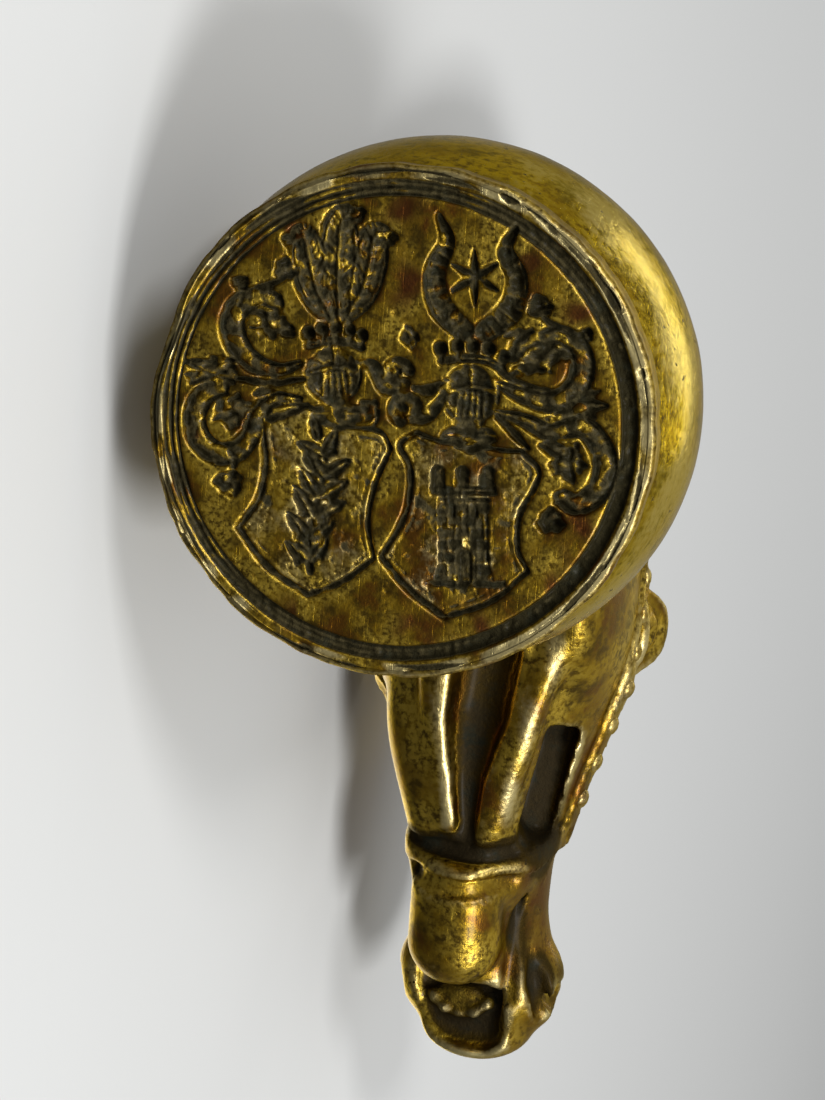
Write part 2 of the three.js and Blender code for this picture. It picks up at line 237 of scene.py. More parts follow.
def aged_brass(name, look, film, soot, metallic, wax, mottle_size, tone_size, grain_depth, clean_roughness,
               lumps, scratch_depth, pits, age):
    """Old brass: olive-golden metal, worn pale on its edges, toned in clouds, dark in its hollows.

    The piece's own attributes say where: dirt in hollows, with painted shade and dark reflections, makes it
    dark; rubbed edges, with painted highlights, make it pale; stain comes in patches.
    Film is the dirt's colour, soot its colour where thick, metallic how much metal shows through it
    and wax a thin clear coat. Lumps is how uneven the metal is. Age darkens the mottling."""
    material, tree, place = new_material(name)
    grime, wear, stain = [add(tree, "ShaderNodeAttribute", attribute_name=label).outputs["Fac"]
                          for label in ("grime", "wear", "stain")]
    # Each cloudy pattern: its size in millimetres, detail and roughness.
    patterns = ((mottle_size, 6.0, 0.65), (tone_size, 4.0, 0.55), (mottle_size / 4, 3.0, 0.6),
                (PIT_SIZE, 2.0, 0.5), (GRAIN_SIZE, 3.0, 0.6), (CRUST_SIZE, 4.0, 0.7))
    mottle, cloud, speck, pit, grain, crumbs = [
        add(tree, NOISE,
            {"Vector": place, "Scale": per_mm(size), "Detail": detail, "Roughness": roughness})
        for size, detail, roughness in patterns]

    # The metal: clean gold in places, then clouds of tone, red-brown stains and pale rubbed edges, the pale
    # also serving for painted highlights.
    metal = layer(tree, look.deep, look.metal, mottle, 0.38 + age, 0.6 + age)
    clean = add(tree, RANGE, {0: cloud, 1: 0.44, 2: 0.6}, **SOFT)
    bare = add(tree, RANGE, {0: speck, 1: 0.36 + age, 2: 0.6 + age}, **SOFT)
    gold = add(tree, MATH, {0: clean, 1: bare}, operation="MULTIPLY")
    metal = add(tree, MIX, {0: gold, 6: metal, 7: look.bright}, **COLOURS)
    dull = add(tree, RANGE, {0: cloud, 1: 0.52, 2: 0.34}, **SOFT)
    toned = sum_of(tree, (dull, 0.6), (mottle, 0.6), (speck, 0.25))
    metal = layer(tree, metal, look.tone, toned, 0.55 - age, 1.02 - age)
    stained = sum_of(tree, (stain, 0.65), (mottle, 0.7), (speck, 0.3))
    metal = layer(tree, metal, look.stain, stained, 0.55, 1.35)
    worn = sum_of(tree, (wear, 1.0), (speck, 0.6))
    metal = layer(tree, metal, look.worn, worn, 0.42, 1.0)

    # The dirt, which also carries painted shade and dark reflections: a dusty film first, then near-black
    # crust where it lies thick.
    pitted = add(tree, RANGE, {0: pit, 1: 0.68, 2: 0.76, 4: pits}, **SOFT)
    dirt = sum_of(tree, (grime, 1.0), (speck, 0.3), (mottle, 0.4), (pitted, 1.0))
    dusty = add(tree, RANGE, {0: dirt, 1: 0.54, 2: 0.95}, **SOFT)
    dark = add(tree, RANGE, {0: dirt, 1: 0.95, 2: 1.35}, **SOFT)
    tarnish = layer(tree, soot, look.verdigris, mottle, 0.5, 0.72)
    colour = add(tree, MIX, {0: dusty, 6: metal, 7: film}, **COLOURS)
    colour = add(tree, MIX, {0: dark, 6: colour, 7: tarnish}, **COLOURS)

    lines = scratches(tree, place, SCRATCH_WIDTH, SCRATCH_LENGTH, (0.3, 0.2, 0.9))
    crossing = scratches(tree, place, CROSSING_WIDTH, CROSSING_LENGTH, (1.1, 0.5, -0.6))
    crust = add(tree, MATH, {0: dusty, 1: crumbs}, operation="MULTIPLY")
    height = sum_of(tree, (grain, 1.0), (mottle, lumps), (lines, -scratch_depth),
                    (crossing, -scratch_depth), (speck, 1.0), (pitted, -3.0), (crust, 6.0))
    relief = add(tree, "ShaderNodeBump", {"Height": height, "Distance": grain_depth * MM, "Strength": 1.0})
    sockets = {
        "Base Color": colour,
        "Metallic": add(tree, RANGE, {0: dusty, 3: 1.0, 4: metallic}, **SOFT),
        "Roughness": sum_of(tree, (dusty, 0.2), (dark, 0.12), (speck, 0.12), (clean_roughness, 1.0)),
        "Normal": relief,
        # The metal stays golden where it is seen along its surface, and old wax gives white highlights.
        "Specular Tint": look.edge,
        "Coat Weight": add(tree, RANGE, {0: dusty, 3: wax, 4: 0.05}, **SOFT),
        "Coat Roughness": 0.28,
    }
    shader = add(tree, "ShaderNodeBsdfPrincipled", sockets)
    add(tree, "ShaderNodeOutputMaterial", {"Surface": shader})
    return material


def engraved_brass(look):
    # Yellow brass cut with a graver: a matt golden field, pale rubbed edges, and near-black cuts.
    return aged_brass("Engraved yellow brass", look, film=look.deposit, soot=look.tarnish, metallic=0.22,
                      wax=0.3, mottle_size=1.1, tone_size=3.4, grain_depth=0.022, clean_roughness=0.36,
                      lumps=0.8, scratch_depth=0.3, pits=0.2, age=0.0)


def polished_brass(look):
    # Brass turned on a lathe and handled bright: a broad smooth sheen with a few dents and scratches.
    return aged_brass("Turned and handled brass", look, film=look.film, soot=look.soot, metallic=0.85,
                      wax=0.1, mottle_size=2.0, tone_size=7.0, grain_depth=0.010, clean_roughness=0.12,
                      lumps=2.6, scratch_depth=0.8, pits=0.7, age=-0.03)


def cast_brass(look):
    # Sand-cast brass chased by hand: shiny rubbed ridges over a darker, slightly pitted skin.
    return aged_brass("Cast and chased brass", look, film=look.film, soot=look.soot, metallic=0.85,
                      wax=0.25, mottle_size=1.8, tone_size=5.0, grain_depth=0.014, clean_roughness=0.3,
                      lumps=6.0, scratch_depth=0.3, pits=0.4, age=0.0)


def filed_iron(look):
    # Wrought iron rod, filed to size: dull grey with fine lines along it and a little brown rust.
    material, tree, place = new_material("Filed wrought iron")
    blotches, grain = [
        add(tree, NOISE,
            {"Vector": place, "Scale": per_mm(size), "Detail": detail, "Roughness": roughness})
        for size, detail, roughness in ((RUST_SIZE, 5.0, 0.65), (2 * FILING_WIDTH, 4.0, 0.55))]
    rust = add(tree, RANGE, {0: blotches, 1: 0.5, 2: 0.66}, **SOFT)
    lines = scratches(tree, place, FILING_WIDTH, FILING_LENGTH, (0.0, math.pi / 2, 0.0))
    height = sum_of(tree, (lines, -0.6), (grain, 0.8))
    sockets = {
        "Base Color": add(tree, MIX, {0: rust, 6: look.iron, 7: look.rust}, **COLOURS),
        "Metallic": add(tree, RANGE, {0: rust, 3: 1.0, 4: 0.2}, **SOFT),
        "Roughness": add(tree, RANGE, {0: rust, 3: 0.42, 4: 0.8}, **SOFT),
        "Normal": add(tree, "ShaderNodeBump", {"Height": height, "Distance": 0.02 * MM}),
    }
    shader = add(tree, "ShaderNodeBsdfPrincipled", sockets)
    add(tree, "ShaderNodeOutputMaterial", {"Surface": shader})
    return material


# The engraver's tools. A path is rows of right, up and half width, in millimetres on the die's face.

LINE_STEP = 0.07


def bowl(across):
    return np.sqrt(np.clip(1 - across * across, 0, 1))


def vee(across):
    return 1 - across


def trough(across):
    return ease((1 - across) / 0.38)


def path(points, *widths):
    """A line through points whose half width goes through these values."""
    line = even_line(points, LINE_STEP)
    return np.column_stack([line, spread(widths, len(line))])


def heading(line):
    """The way that a path goes at each of its points."""
    way = np.gradient(line[:, :2], axis=0)
    return way / np.maximum(np.linalg.norm(way, axis=1, keepdims=True), 1e-9)


def beside(line, share, half):
    """A line that keeps to one side of another, at a share of its half width to the left."""
    way = heading(line)
    left = np.column_stack([-way[:, 1], way[:, 0]])
    taper = np.minimum(1, line[:, 2] / (0.6 * line[:, 2].max()))
    return np.column_stack([line[:, :2] + left * share * line[:, 2:3], half * taper])


def polar(centre, reach, turn):
    """The point at a reach and a turn from a centre."""
    return centre[0] + reach * math.cos(turn), centre[1] + reach * math.sin(turn)


def ring(centre, radius, half, start=0.0, end=2 * math.pi):
    """A path round an arc."""
    return path([polar(centre, radius, turn) for turn in np.linspace(start, end, 13)], half)


class Die:
    """The face of the die: how deep each of its points is cut below the surface, in millimetres."""

    def __init__(self, right, up):
        self.right = right.ravel()
        self.up = up.ravel()
        self.depth = np.zeros_like(self.right)
        self.soil = np.zeros_like(self.right)
        self.ground = np.zeros_like(self.right)

    def places(self):
        return np.column_stack([self.right, self.up])

    def cells_in(self, low, high):
        """The points in an upright rectangle."""
        inside = (self.right > low[0]) & (self.right < high[0]) & (self.up > low[1]) & (self.up < high[1])
        return np.nonzero(inside)[0]

    def oval(self, centre, wide, high, turn=0.0):
        """How far along and across an oval each point is, as shares of its half sizes."""
        cos, sin = math.cos(math.radians(turn)), math.sin(math.radians(turn))
        x = self.right - centre[0]
        y = self.up - centre[1]
        return (x * cos + y * sin) / wide, (y * cos - x * sin) / high

    def near(self, line):
        """The points that a path reaches, and how far across it they are."""
        half = line[:, 2:3]
        cells = self.cells_in((line[:, :2] - half).min(axis=0), (line[:, :2] + half).max(axis=0))
        gaps = (self.right[cells, None] - line[:, 0]) ** 2 + (self.up[cells, None] - line[:, 1]) ** 2
        across = (np.sqrt(gaps) / line[:, 2]).min(axis=1)
        return cells[across < 1], across[across < 1]

    def cut(self, line, depth, section=bowl):
        """Cuts a groove. Where something deeper is there, that stays."""
        cells, across = self.near(line)
        self.depth[cells] = np.maximum(self.depth[cells], depth * section(across))

    def sink(self, line, depth, section=bowl):
        """Cuts a groove into whatever is there."""
        cells, across = self.near(line)
        self.depth[cells] += depth * section(across)

    def lift(self, line, height, section=bowl):
        """Leaves a rib standing in a cut, no higher than the face."""
        cells, across = self.near(line)
        self.depth[cells] = np.maximum(0, self.depth[cells] - height * section(across))

    def hollow(self, centre, wide, high, depth, turn=0.0, section=bowl):
        """Scoops out an oval."""
        across = np.hypot(*self.oval(centre, wide, high, turn))
        cells = np.nonzero(across < 1)[0]
        self.depth[cells] = np.maximum(self.depth[cells], depth * section(across[cells]))

    def leafy(self, centre, wide, high, turn=0.0, lobes=5, depth=0.42):
        """Cuts a crumpled leaf: a rough hollow with a lobed edge and veins."""
        along, aside = self.oval(centre, wide, high, turn)
        angle = np.arctan2(aside, along)
        edge = 1 + 0.12 * np.cos(lobes * angle + centre[0])
        edge += 0.07 * np.cos((2 * lobes + 1) * angle + centre[1])
        across = np.hypot(along, aside) / edge
        cells = np.nonzero(across < 1)[0]
        creases = swell(self.places()[cells], 0.75, lobes, 24)
        creases += 0.5 * np.cos(lobes * angle[cells] + 4 * across[cells])
        floor = depth * (1 + 0.24 * creases * np.clip(1.2 - across[cells], 0, 1))
        self.depth[cells] = np.maximum(self.depth[cells], floor * trough(across[cells]))

    def keep(self, centre, wide, high):
        """Leaves an oval of the face standing."""
        self.depth *= ease((np.hypot(*self.oval(centre, wide, high)) - 0.7) / 0.4)

    def lower(self, outline, depth, wall):
        """Sinks an area to a flat floor, with sloping walls inside its closed outline."""
        cells = self.cells_in(outline.min(axis=0), outline.max(axis=0))
        x, y = self.right[cells, None], self.up[cells, None]
        x0, y0 = outline.T
        x1, y1 = np.roll(outline, -1, axis=0).T
        rise = np.where(y1 == y0, 1e-9, y1 - y0)
        crossings = ((y0 > y) != (y1 > y)) & (x < (x1 - x0) * (y - y0) / rise + x0)
        within = crossings.sum(axis=1) % 2 == 1
        inset = np.sqrt(((x - x0) ** 2 + (y - y0) ** 2).min(axis=1))[within]
        cells = cells[within]
        self.depth[cells] = np.maximum(self.depth[cells], depth * ease(inset / wall))
        return cells


def closed(sides, step=LINE_STEP):
    """An outline from its sides, each a smooth curve, so that it has corners where they meet."""
    return np.vstack([even_line(side, step)[:-1] for side in sides])


# The design: two tilted shields under crowned helms, with leafy mantling, as family seals have them.
# The charges are generic: a laurel branch and a tower on the shields, plumes and horns on the helms.

SHIELD_LEFT = (
    [(-6.5, 1.0), (-6.95, 0.0), (-6.85, -2.0), (-7.3, -3.8), (-8.4, -5.3)],
    [(-8.4, -5.3), (-6.9, -7.3), (-4.8, -8.75)],
    [(-4.8, -8.75), (-3.0, -8.0), (-1.35, -6.8)],
    [(-1.35, -6.8), (-1.6, -5.0), (-1.2, -3.0), (-0.35, -1.15)],
    [(-0.35, -1.15), (-0.95, -0.3), (-2.7, -0.1)],
    [(-2.7, -0.1), (-4.6, 0.9), (-6.5, 1.0)],
)
SHIELD_RIGHT = (
    [(1.0, -0.35), (0.15, -1.0), (0.65, -2.2), (0.5, -4.0), (0.0, -5.2), (-0.95, -6.7)],
    [(-0.95, -6.7), (0.4, -8.3), (2.25, -9.75)],
    [(2.25, -9.75), (4.6, -8.9), (6.55, -7.3)],
    [(6.55, -7.3), (6.05, -6.2), (6.15, -4.5), (7.15, -2.4), (6.3, -1.25)],
    [(6.3, -1.25), (5.2, -1.2), (3.7, -0.9), (2.2, -0.8), (1.0, -0.35)],
)
SHIELD_DEPTH = 0.17
OUTLINE_DEPTH = 0.52
OUTLINE_HALF = 0.24
# How much less dirt the shields' grounds hold than other cuts of their depth.
SHIELD_CLEANED = 0.36


def engrave_shield(die, sides, seed):
    """A sunk shield with a deep outline, a fine ridge inside it and a matted ground."""
    cells = die.lower(closed(sides), SHIELD_DEPTH, 0.3)
    places = die.places()[cells]
    matted = swell(places, 0.4, seed, 40) + 0.8 * swell(places, 1.1, seed + 1, 30)
    die.depth[cells] += 0.006 * matted * ease(die.depth[cells] / SHIELD_DEPTH)
    sunk = ease(die.depth[cells] / SHIELD_DEPTH)
    die.ground[cells] = sunk
    die.soil[cells] += (0.06 * swell(places, 1.6, seed + 2, 30) - SHIELD_CLEANED) * sunk
    for side in sides:
        edge = path(side, OUTLINE_HALF * 0.8, OUTLINE_HALF, OUTLINE_HALF * 0.8)
        die.cut(edge, OUTLINE_DEPTH, vee)
        die.cut(beside(edge, 1.9, 0.12), SHIELD_DEPTH + 0.1, vee)


def engrave_leaf(die, root, tip, half, depth):
    """One pointed leaf, cut as two slopes that meet in its vein."""
    middle = ((root[0] + tip[0]) / 2, (root[1] + tip[1]) / 2)
    die.cut(path([root, middle, tip], 0.06, half, half * 0.75, 0.04), depth, trough)
    die.lift(path([root, middle, tip], 0.09, 0.1, 0.05), depth * 0.45)


def engrave_branch(die):
    """A laurel branch: a bent stem with pairs of leaves, and berries between them."""
    stem = path([(-4.7, -7.5), (-4.75, -5.8), (-4.2, -3.8), (-3.8, -2.0), (-4.1, -0.8)], 0.2, 0.16, 0.1)
    die.cut(stem, 0.5)
    pairs = 6
    for pair in range(pairs):
        spot = stem[int((0.08 + 0.8 * pair / (pairs - 1)) * (len(stem) - 1))]
        ahead = stem[min(len(stem) - 1, int((0.12 + 0.8 * pair / (pairs - 1)) * len(stem)))] - spot
        lean = math.atan2(ahead[1], ahead[0])
        long = 2.05 - 0.5 * abs(pair - 2.2) / 2.5
        for side in (-1, 1):
            turn = lean + side * 0.78
            engrave_leaf(die, spot[:2], polar(spot, long, turn), 0.5, 0.52)
            x, y = polar(spot, 0.62, lean + side * 1.35)
            die.hollow((x, y - 0.12), 0.22, 0.22, 0.5)
    engrave_leaf(die, stem[-1][:2], (-4.4, 0.45), 0.42, 0.52)


def engrave_tower(die):
    """A round tower with battlements, a gate, two windows and courses of stone."""
    middle, half, foot, head = 3.3, 1.42, -7.9, -3.5
    wall = [(middle - half - 0.25, foot), (middle - half, foot + 1.2), (middle - half, head)]
    top = [(middle - half - 0.35, head - 0.1), (middle - half - 0.35, head + 0.55)]
    for left, depth, slope in ((wall, 0.42, 0.22), (top, 0.52, 0.2)):
        right = [(2 * middle - x, y) for x, y in reversed(left)]
        die.lower(closed((left, [left[-1], right[0]], right, [right[-1], left[0]])), depth, slope)
    for place in (-1.25, 0.0, 1.25):
        die.cut(path([(middle + place, head + 0.4), (middle + place, head + 1.15)], 0.42), 0.52, trough)
    course = 0.62
    rows = int((head - foot) / course)
    for row in range(rows + 1):
        height = foot + 0.3 + row * course
        die.lift(path([(middle - half + 0.1, height), (middle + half - 0.1, height)], 0.1), 0.13)
        for block in (-0.85, -0.1, 0.65):
            x = middle + block + (row % 2) * 0.38
            die.lift(path([(x, height), (x, height + course)], 0.09), 0.1)
    die.cut(path([(middle, foot + 0.1), (middle, foot + 1.25)], 0.48), 0.66, trough)
    die.hollow((middle, foot + 1.35), 0.48, 0.5, 0.66)
    for side in (-1, 1):
        window = (middle + side * 0.58, head - 1.05)
        die.cut(path([window, (window[0], window[1] + 0.42)], 0.2), 0.62)
        die.cut(path([(middle - half - 0.55, foot - 0.12), (middle + half + 0.55, foot - 0.12)], 0.2), 0.4)
    for blade in range(7):
        x = middle - 1.9 + blade * 0.62
        die.cut(path([(x, foot - 0.25), (x + 0.12, foot - 0.75)], 0.13, 0.04), 0.34, vee)


def engrave_helm(die, centre, wide, high, turn):
    """A helm as a deep bowl with the bars of its visor, over a short neck and a gorget."""
    x, y = centre
    lean = math.tan(math.radians(turn))
    throat = (x - lean * high, y - high * 1.15)
    die.cut(path([(x, y - high * 0.6), throat], 0.85, 0.75), 0.5, bowl)
    die.hollow(centre, wide, high, 0.72, turn)
    die.cut(ring(centre, (wide + high) / 2, 0.14, math.radians(150), math.radians(390)), 0.42, vee)
    for bar in range(5):
        place = (bar - 2) * wide * 0.3
        top = (x + place * 0.8, y + high * 0.05)
        foot = (x + place * 0.9 - lean * high * 0.7, y - high * 0.72)
        die.lift(path([top, foot], 0.1, 0.12, 0.08), 0.26)
    die.lift(path([(x - wide * 0.85, y + 0.1), (x, y + 0.32), (x + wide * 0.85, y + 0.1)], 0.12), 0.3)
    die.lift(path([(x, y + 0.35), (x, y + high * 0.95)], 0.11), 0.24)
    for side in (-1, 1):
        shoulder = (throat[0] + side * 0.8, throat[1] - 0.32)
        die.hollow(shoulder, 0.72, 0.5, 0.52, side * -22)
        die.lift(path([(shoulder[0] - 0.4, shoulder[1]), (shoulder[0] + 0.4, shoulder[1])], 0.09), 0.18)
    die.cut(path([(throat[0] - 0.9, throat[1] - 0.55), (throat[0], throat[1] - 0.95),
                  (throat[0] + 0.9, throat[1] - 0.55)], 0.2, 0.3, 0.2), 0.5)


def engrave_coronet(die, beads, radius):
    """A coronet of beads on a band that bends under them."""
    band = path([(x, y - 0.62) for x, y in beads], 0.2, 0.26, 0.2)
    die.cut(band, 0.45, trough)
    die.lift(band * [1, 1, 0.35], 0.2)
    for bead in beads:
        die.hollow(bead, radius, radius * 1.08, 0.66)
        die.cut(path([bead, (bead[0], bead[1] - 0.55)], 0.14), 0.45)


def engrave_plume(die, points, width, barbs):
    """An ostrich feather: a broad soft vane with a quill, fine barbs and a curled tip."""
    vane = path(points, width * 0.35, width * 0.8, width, width * 1.05, width * 0.85, width * 0.4)
    die.cut(vane, 0.42, trough)
    die.cut(beside(vane, 0.92, 0.17), 0.56, vee)
    die.cut(beside(vane, -0.92, 0.17), 0.56, vee)
    way = heading(vane)
    rng = np.random.default_rng(barbs)
    for barb in range(barbs):
        place = int((0.04 + 0.92 * barb / barbs) * (len(vane) - 1))
        spot, ahead, half = vane[place, :2], way[place], vane[place, 2]
        for side in (-1, 1):
            out = np.array([-ahead[1], ahead[0]]) * side
            bent = spot + out * half * 0.55 + ahead * half * rng.uniform(0.35, 0.65)
            tip = spot + out * half * rng.uniform(0.9, 1.15) + ahead * half * rng.uniform(0.9, 1.3)
            die.sink(path([spot, bent, tip], 0.05, 0.13, 0.04), rng.uniform(0.08, 0.17), vee)
    die.lift(vane * [1, 1, 0] + [0, 0, 0.12], 0.2)
    die.leafy(vane[-1, :2], width * 0.6, width * 0.5, 0.0, 4, 0.5)


def engrave_plumes(die):
    """Three plumes that spread and droop at their tips."""
    engrave_plume(die, [(-3.2, 5.3), (-4.0, 6.8), (-4.4, 8.4), (-4.6, 9.4), (-5.2, 9.3)], 0.9, 17)
    engrave_plume(die, [(-2.6, 5.3), (-1.7, 6.7), (-1.25, 8.2), (-0.95, 9.4), (-0.2, 9.3)], 0.88, 16)
    engrave_plume(die, [(-2.9, 5.3), (-2.9, 7.2), (-2.8, 8.9), (-2.6, 10.2), (-1.9, 10.5)], 1.0, 20)


def engrave_horns(die):
    """A pair of ringed horns with a six-pointed star between them."""
    left = path([(3.55, 4.7), (2.35, 6.0), (2.1, 7.6), (2.75, 9.1), (2.3, 10.4)], 0.5, 0.6, 0.52, 0.4, 0.14)
    right = path([(4.35, 4.6), (5.7, 5.7), (6.1, 7.2), (5.55, 8.6), (6.1, 9.7)], 0.5, 0.6, 0.52, 0.4, 0.14)
    for horn, side in ((left, 1), (right, -1)):
        die.cut(horn, 0.58)
        die.cut(beside(horn, side * 0.95, 0.16), 0.5, vee)
        for band in range(1, 11):
            place = int(band / 12 * (len(horn) - 1))
            across, back = [beside(horn, share, 0.1)[place][:2] for share in (0.85, -0.85)]
            die.lift(path([across, horn[place][:2], back], 0.08), 0.16)
    star = (4.05, 7.35)
    for point in range(6):
        tip = polar(star, 1.35, math.radians(90 + 60 * point))
        die.cut(path([star, tip], 0.42, 0.06), 0.62, vee)


def engrave_scroll(die, points, widths, side, lobes, depth=0.4):
    """A curling leaf: a rough band between two deep outlines, with rounded lobes on its outer side."""
    leaf = path(points, *widths)
    way = heading(leaf)
    for lobe in lobes:
        place = int(lobe * (len(leaf) - 1))
        spot, ahead, half = leaf[place, :2], way[place], leaf[place, 2]
        out = np.array([-ahead[1], ahead[0]]) * side
        bent = spot + out * (half + 0.2) + ahead * 0.3
        tip = spot + out * (half + 0.32) + ahead * 0.8
        die.cut(path([spot, bent, tip], 0.45, 0.4, 0.08), depth, bowl)
    die.cut(leaf, depth, trough)
    die.lift(leaf * [1, 1, 0.6], depth * 0.36)
    die.cut(beside(leaf, 0.84 * side, 0.25), depth * 1.55, vee)
    die.cut(beside(leaf, -0.86 * side, 0.18), depth * 1.35, vee)


def engrave_mantling(die):
    """The leafy scrolls beside the helms, their stems and the curls between them."""
    engrave_scroll(die, [(-4.9, 3.1), (-6.1, 2.75), (-7.3, 3.1), (-8.15, 4.0), (-8.4, 5.2), (-7.9, 6.1),
                         (-6.9, 6.45), (-6.0, 6.1)],
                   (0.14, 0.3, 0.45, 0.56, 0.6, 0.58, 0.52, 0.42), -1, (0.8,))
    die.leafy((-6.55, 5.3), 1.3, 0.95, -20)
    die.leafy((-5.55, 4.75), 0.55, 0.4, -30, 4)
    die.keep((-7.2, 5.25), 0.42, 0.34)
    engrave_scroll(die, [(-4.9, 1.3), (-6.3, 1.3), (-7.3, 0.5), (-7.6, -0.5), (-8.3, -1.35), (-9.4, -1.5),
                         (-10.3, -0.8), (-10.55, 0.4), (-10.0, 1.5), (-9.0, 1.9)],
                   (0.12, 0.26, 0.36, 0.44, 0.52, 0.56, 0.56, 0.55, 0.52, 0.4), -1, (0.14, 0.24))
    die.leafy((-8.6, 0.65), 1.1, 0.95, 40)
    die.keep((-9.25, -0.1), 0.38, 0.36)
    die.leafy((-9.3, 2.95), 1.25, 0.6, 8, 6)
    engrave_scroll(die, [(5.1, 2.1), (6.3, 1.55), (7.6, 1.2), (8.8, 1.65), (9.35, 2.8), (9.1, 3.9),
                         (8.2, 4.5), (7.3, 4.2)],
                   (0.14, 0.32, 0.46, 0.56, 0.58, 0.55, 0.48, 0.4), 1, (0.72,))
    die.leafy((7.4, 3.35), 1.3, 0.85, 25)
    die.leafy((6.2, 2.75), 0.75, 0.3, 30, 4)
    die.keep((8.15, 2.85), 0.36, 0.36)
    engrave_scroll(die, [(5.0, 0.7), (6.4, 0.3), (7.7, -0.3), (9.2, 0.0), (10.1, -0.8), (10.45, -2.0),
                         (10.05, -3.2), (9.1, -3.85), (8.2, -3.5)],
                   (0.12, 0.26, 0.36, 0.44, 0.52, 0.56, 0.55, 0.52, 0.4), 1, (0.24,))
    die.leafy((8.6, -1.75), 1.0, 1.15, 15)
    die.keep((9.25, -2.75), 0.3, 0.34)
    die.leafy((9.0, 0.75), 1.2, 0.55, -4, 6)
    # Leaf tips and stems outside the scrolls.
    engrave_scroll(die, [(-8.4, 2.4), (-9.5, 2.8), (-11.0, 3.25)], (0.3, 0.4, 0.05), 1, (0.3, 0.6), 0.36)
    engrave_scroll(die, [(-9.0, 2.9), (-10.0, 2.6), (-10.7, 2.1)], (0.3, 0.35, 0.06), 1, (), 0.36)
    engrave_scroll(die, [(8.1, 0.4), (9.3, 0.95), (10.6, 1.05)], (0.3, 0.4, 0.06), 1, (0.35, 0.6), 0.36)
    engrave_scroll(die, [(7.0, 4.4), (6.3, 4.0), (5.9, 3.2)], (0.42, 0.36, 0.1), -1, (0.3,), 0.36)
    engrave_scroll(die, [(8.3, -1.3), (7.7, -1.0), (7.2, -0.9)], (0.34, 0.3, 0.06), 1, (), 0.4)
    for points in ([(-4.8, 2.3), (-6.6, 2.15), (-8.3, 2.35)], [(-4.6, 1.0), (-6.0, 0.45), (-6.9, 0.2)],
                   [(5.1, 0.5), (6.0, -0.4), (6.6, -1.1)], [(5.3, 2.7), (6.4, 2.0), (7.6, 1.8)],
                   [(-5.8, 7.3), (-6.6, 6.95), (-7.5, 6.8)], [(-7.7, 6.9), (-7.9, 6.5), (-8.1, 6.0)],
                   [(7.4, 5.4), (8.0, 4.9), (8.8, 4.5)], [(-8.6, -2.2), (-8.5, -1.8), (-8.8, -1.4)]):
        die.cut(path(points, 0.16, 0.26, 0.14), 0.45, bowl)
    for centre, radius in (((-5.5, 7.8), 0.72), ((-7.9, 7.15), 0.5), ((7.25, 5.9), 0.72),
                           ((9.5, 4.5), 0.45), ((-8.8, -3.0), 0.84), ((7.75, -4.75), 0.8)):
        die.leafy(centre, radius, radius * 0.92, 0.0, 3, 0.5)
    # The curls that meet between the helms.
    for centre, radius, start, end in (((0.15, 2.6), 0.55, 0.3, 5.2), ((0.45, 0.8), 0.6, -0.4, 4.3)):
        die.cut(ring(centre, radius, 0.34, start, end), 0.46)
        die.leafy((centre[0] - 0.25, centre[1] + 0.1), 0.42, 0.36, 0.0, 4, 0.5)
    die.cut(path([(-1.9, 3.1), (-1.2, 3.0), (-0.8, 2.3), (-0.5, 1.8), (0.1, 1.8)],
                 0.16, 0.4, 0.4, 0.2), 0.44)
    die.cut(path([(0.7, 0.3), (1.4, 0.35), (2.0, 0.9), (2.5, 1.6)], 0.25, 0.36, 0.2), 0.42)
    die.cut(path([(0.9, 1.9), (1.5, 1.75), (2.2, 2.1)], 0.14, 0.36, 0.16), 0.42)
    die.leafy((-1.5, 0.75), 0.8, 0.62, 30, 5, 0.34)
    die.cut(ring((-1.7, 0.55), 0.75, 0.13, 2.8, 6.4), 0.42, vee)
    die.leafy((0.75, 4.4), 0.5, 0.66, 20, 4, 0.36)


def roughen(die, seed):
    """The graver's chatter on the floors of the cuts."""
    places = die.places()
    chatter = swell(places, 0.38, seed, 40) + 0.7 * swell(places, 0.8, seed + 1, 30)
    die.depth += 0.028 * chatter * ease((die.depth - 0.16) / 0.14)


def engrave_border(die):
    """A broad turned groove round the field with thin worn ridges in it, and a knocked rim."""
    radius = np.hypot(die.right, die.up)
    turn = np.arctan2(die.up, die.right)
    places = die.places()
    out = radius - 0.07 * np.cos(turn - 2.4)
    groove = ease((0.44 - np.abs(out - 11.72)) / 0.14) * 0.42
    worn = 0.12 + 0.88 * ease(0.55 + 0.5 * np.cos(turn - 2.5))
    worn *= np.clip(0.9 + 0.2 * swell(places, 2.5, 6), 0, 1.1)
    for middle, height in ((11.56, 0.42), (11.92, 0.38)):
        groove -= height * worn * bowl(np.clip(np.abs(out - middle) / 0.16, 0, 1))
    groove += 0.03 * swell(places, 0.6, 5, 40) * ease(groove / 0.3)
    die.depth = np.maximum(die.depth, groove)
    rim = ease((radius - 12.2) / 0.15)
    line = vee(np.clip(np.abs(out - 12.36) / 0.09, 0, 1)) * ease(0.6 + swell(places, 1.6, 7))
    die.depth += 0.07 * line
    die.depth += rim * 0.024 * np.clip(swell(places, 1.3, 8, 30), -0.6, 2)
    die.depth = np.maximum(die.depth, 0)


# Knocks in the rim: right, up, reach outward, reach round and depth.
NICKS = ((-1.5, 12.3, 0.3, 0.5, 0.12), (5.85, 11.15, 0.3, 0.6, 0.2), (12.6, 2.7, 0.7, 0.36, 0.13),
         (9.9, 7.9, 0.25, 0.6, 0.1), (-11.4, -5.3, 0.25, 0.4, 0.14), (-8.7, 9.2, 0.2, 0.5, 0.1),
         (3.4, -12.3, 0.25, 0.5, 0.1), (-5.0, -11.4, 0.2, 0.5, 0.12), (10.9, 6.2, 0.2, 0.8, 0.1))


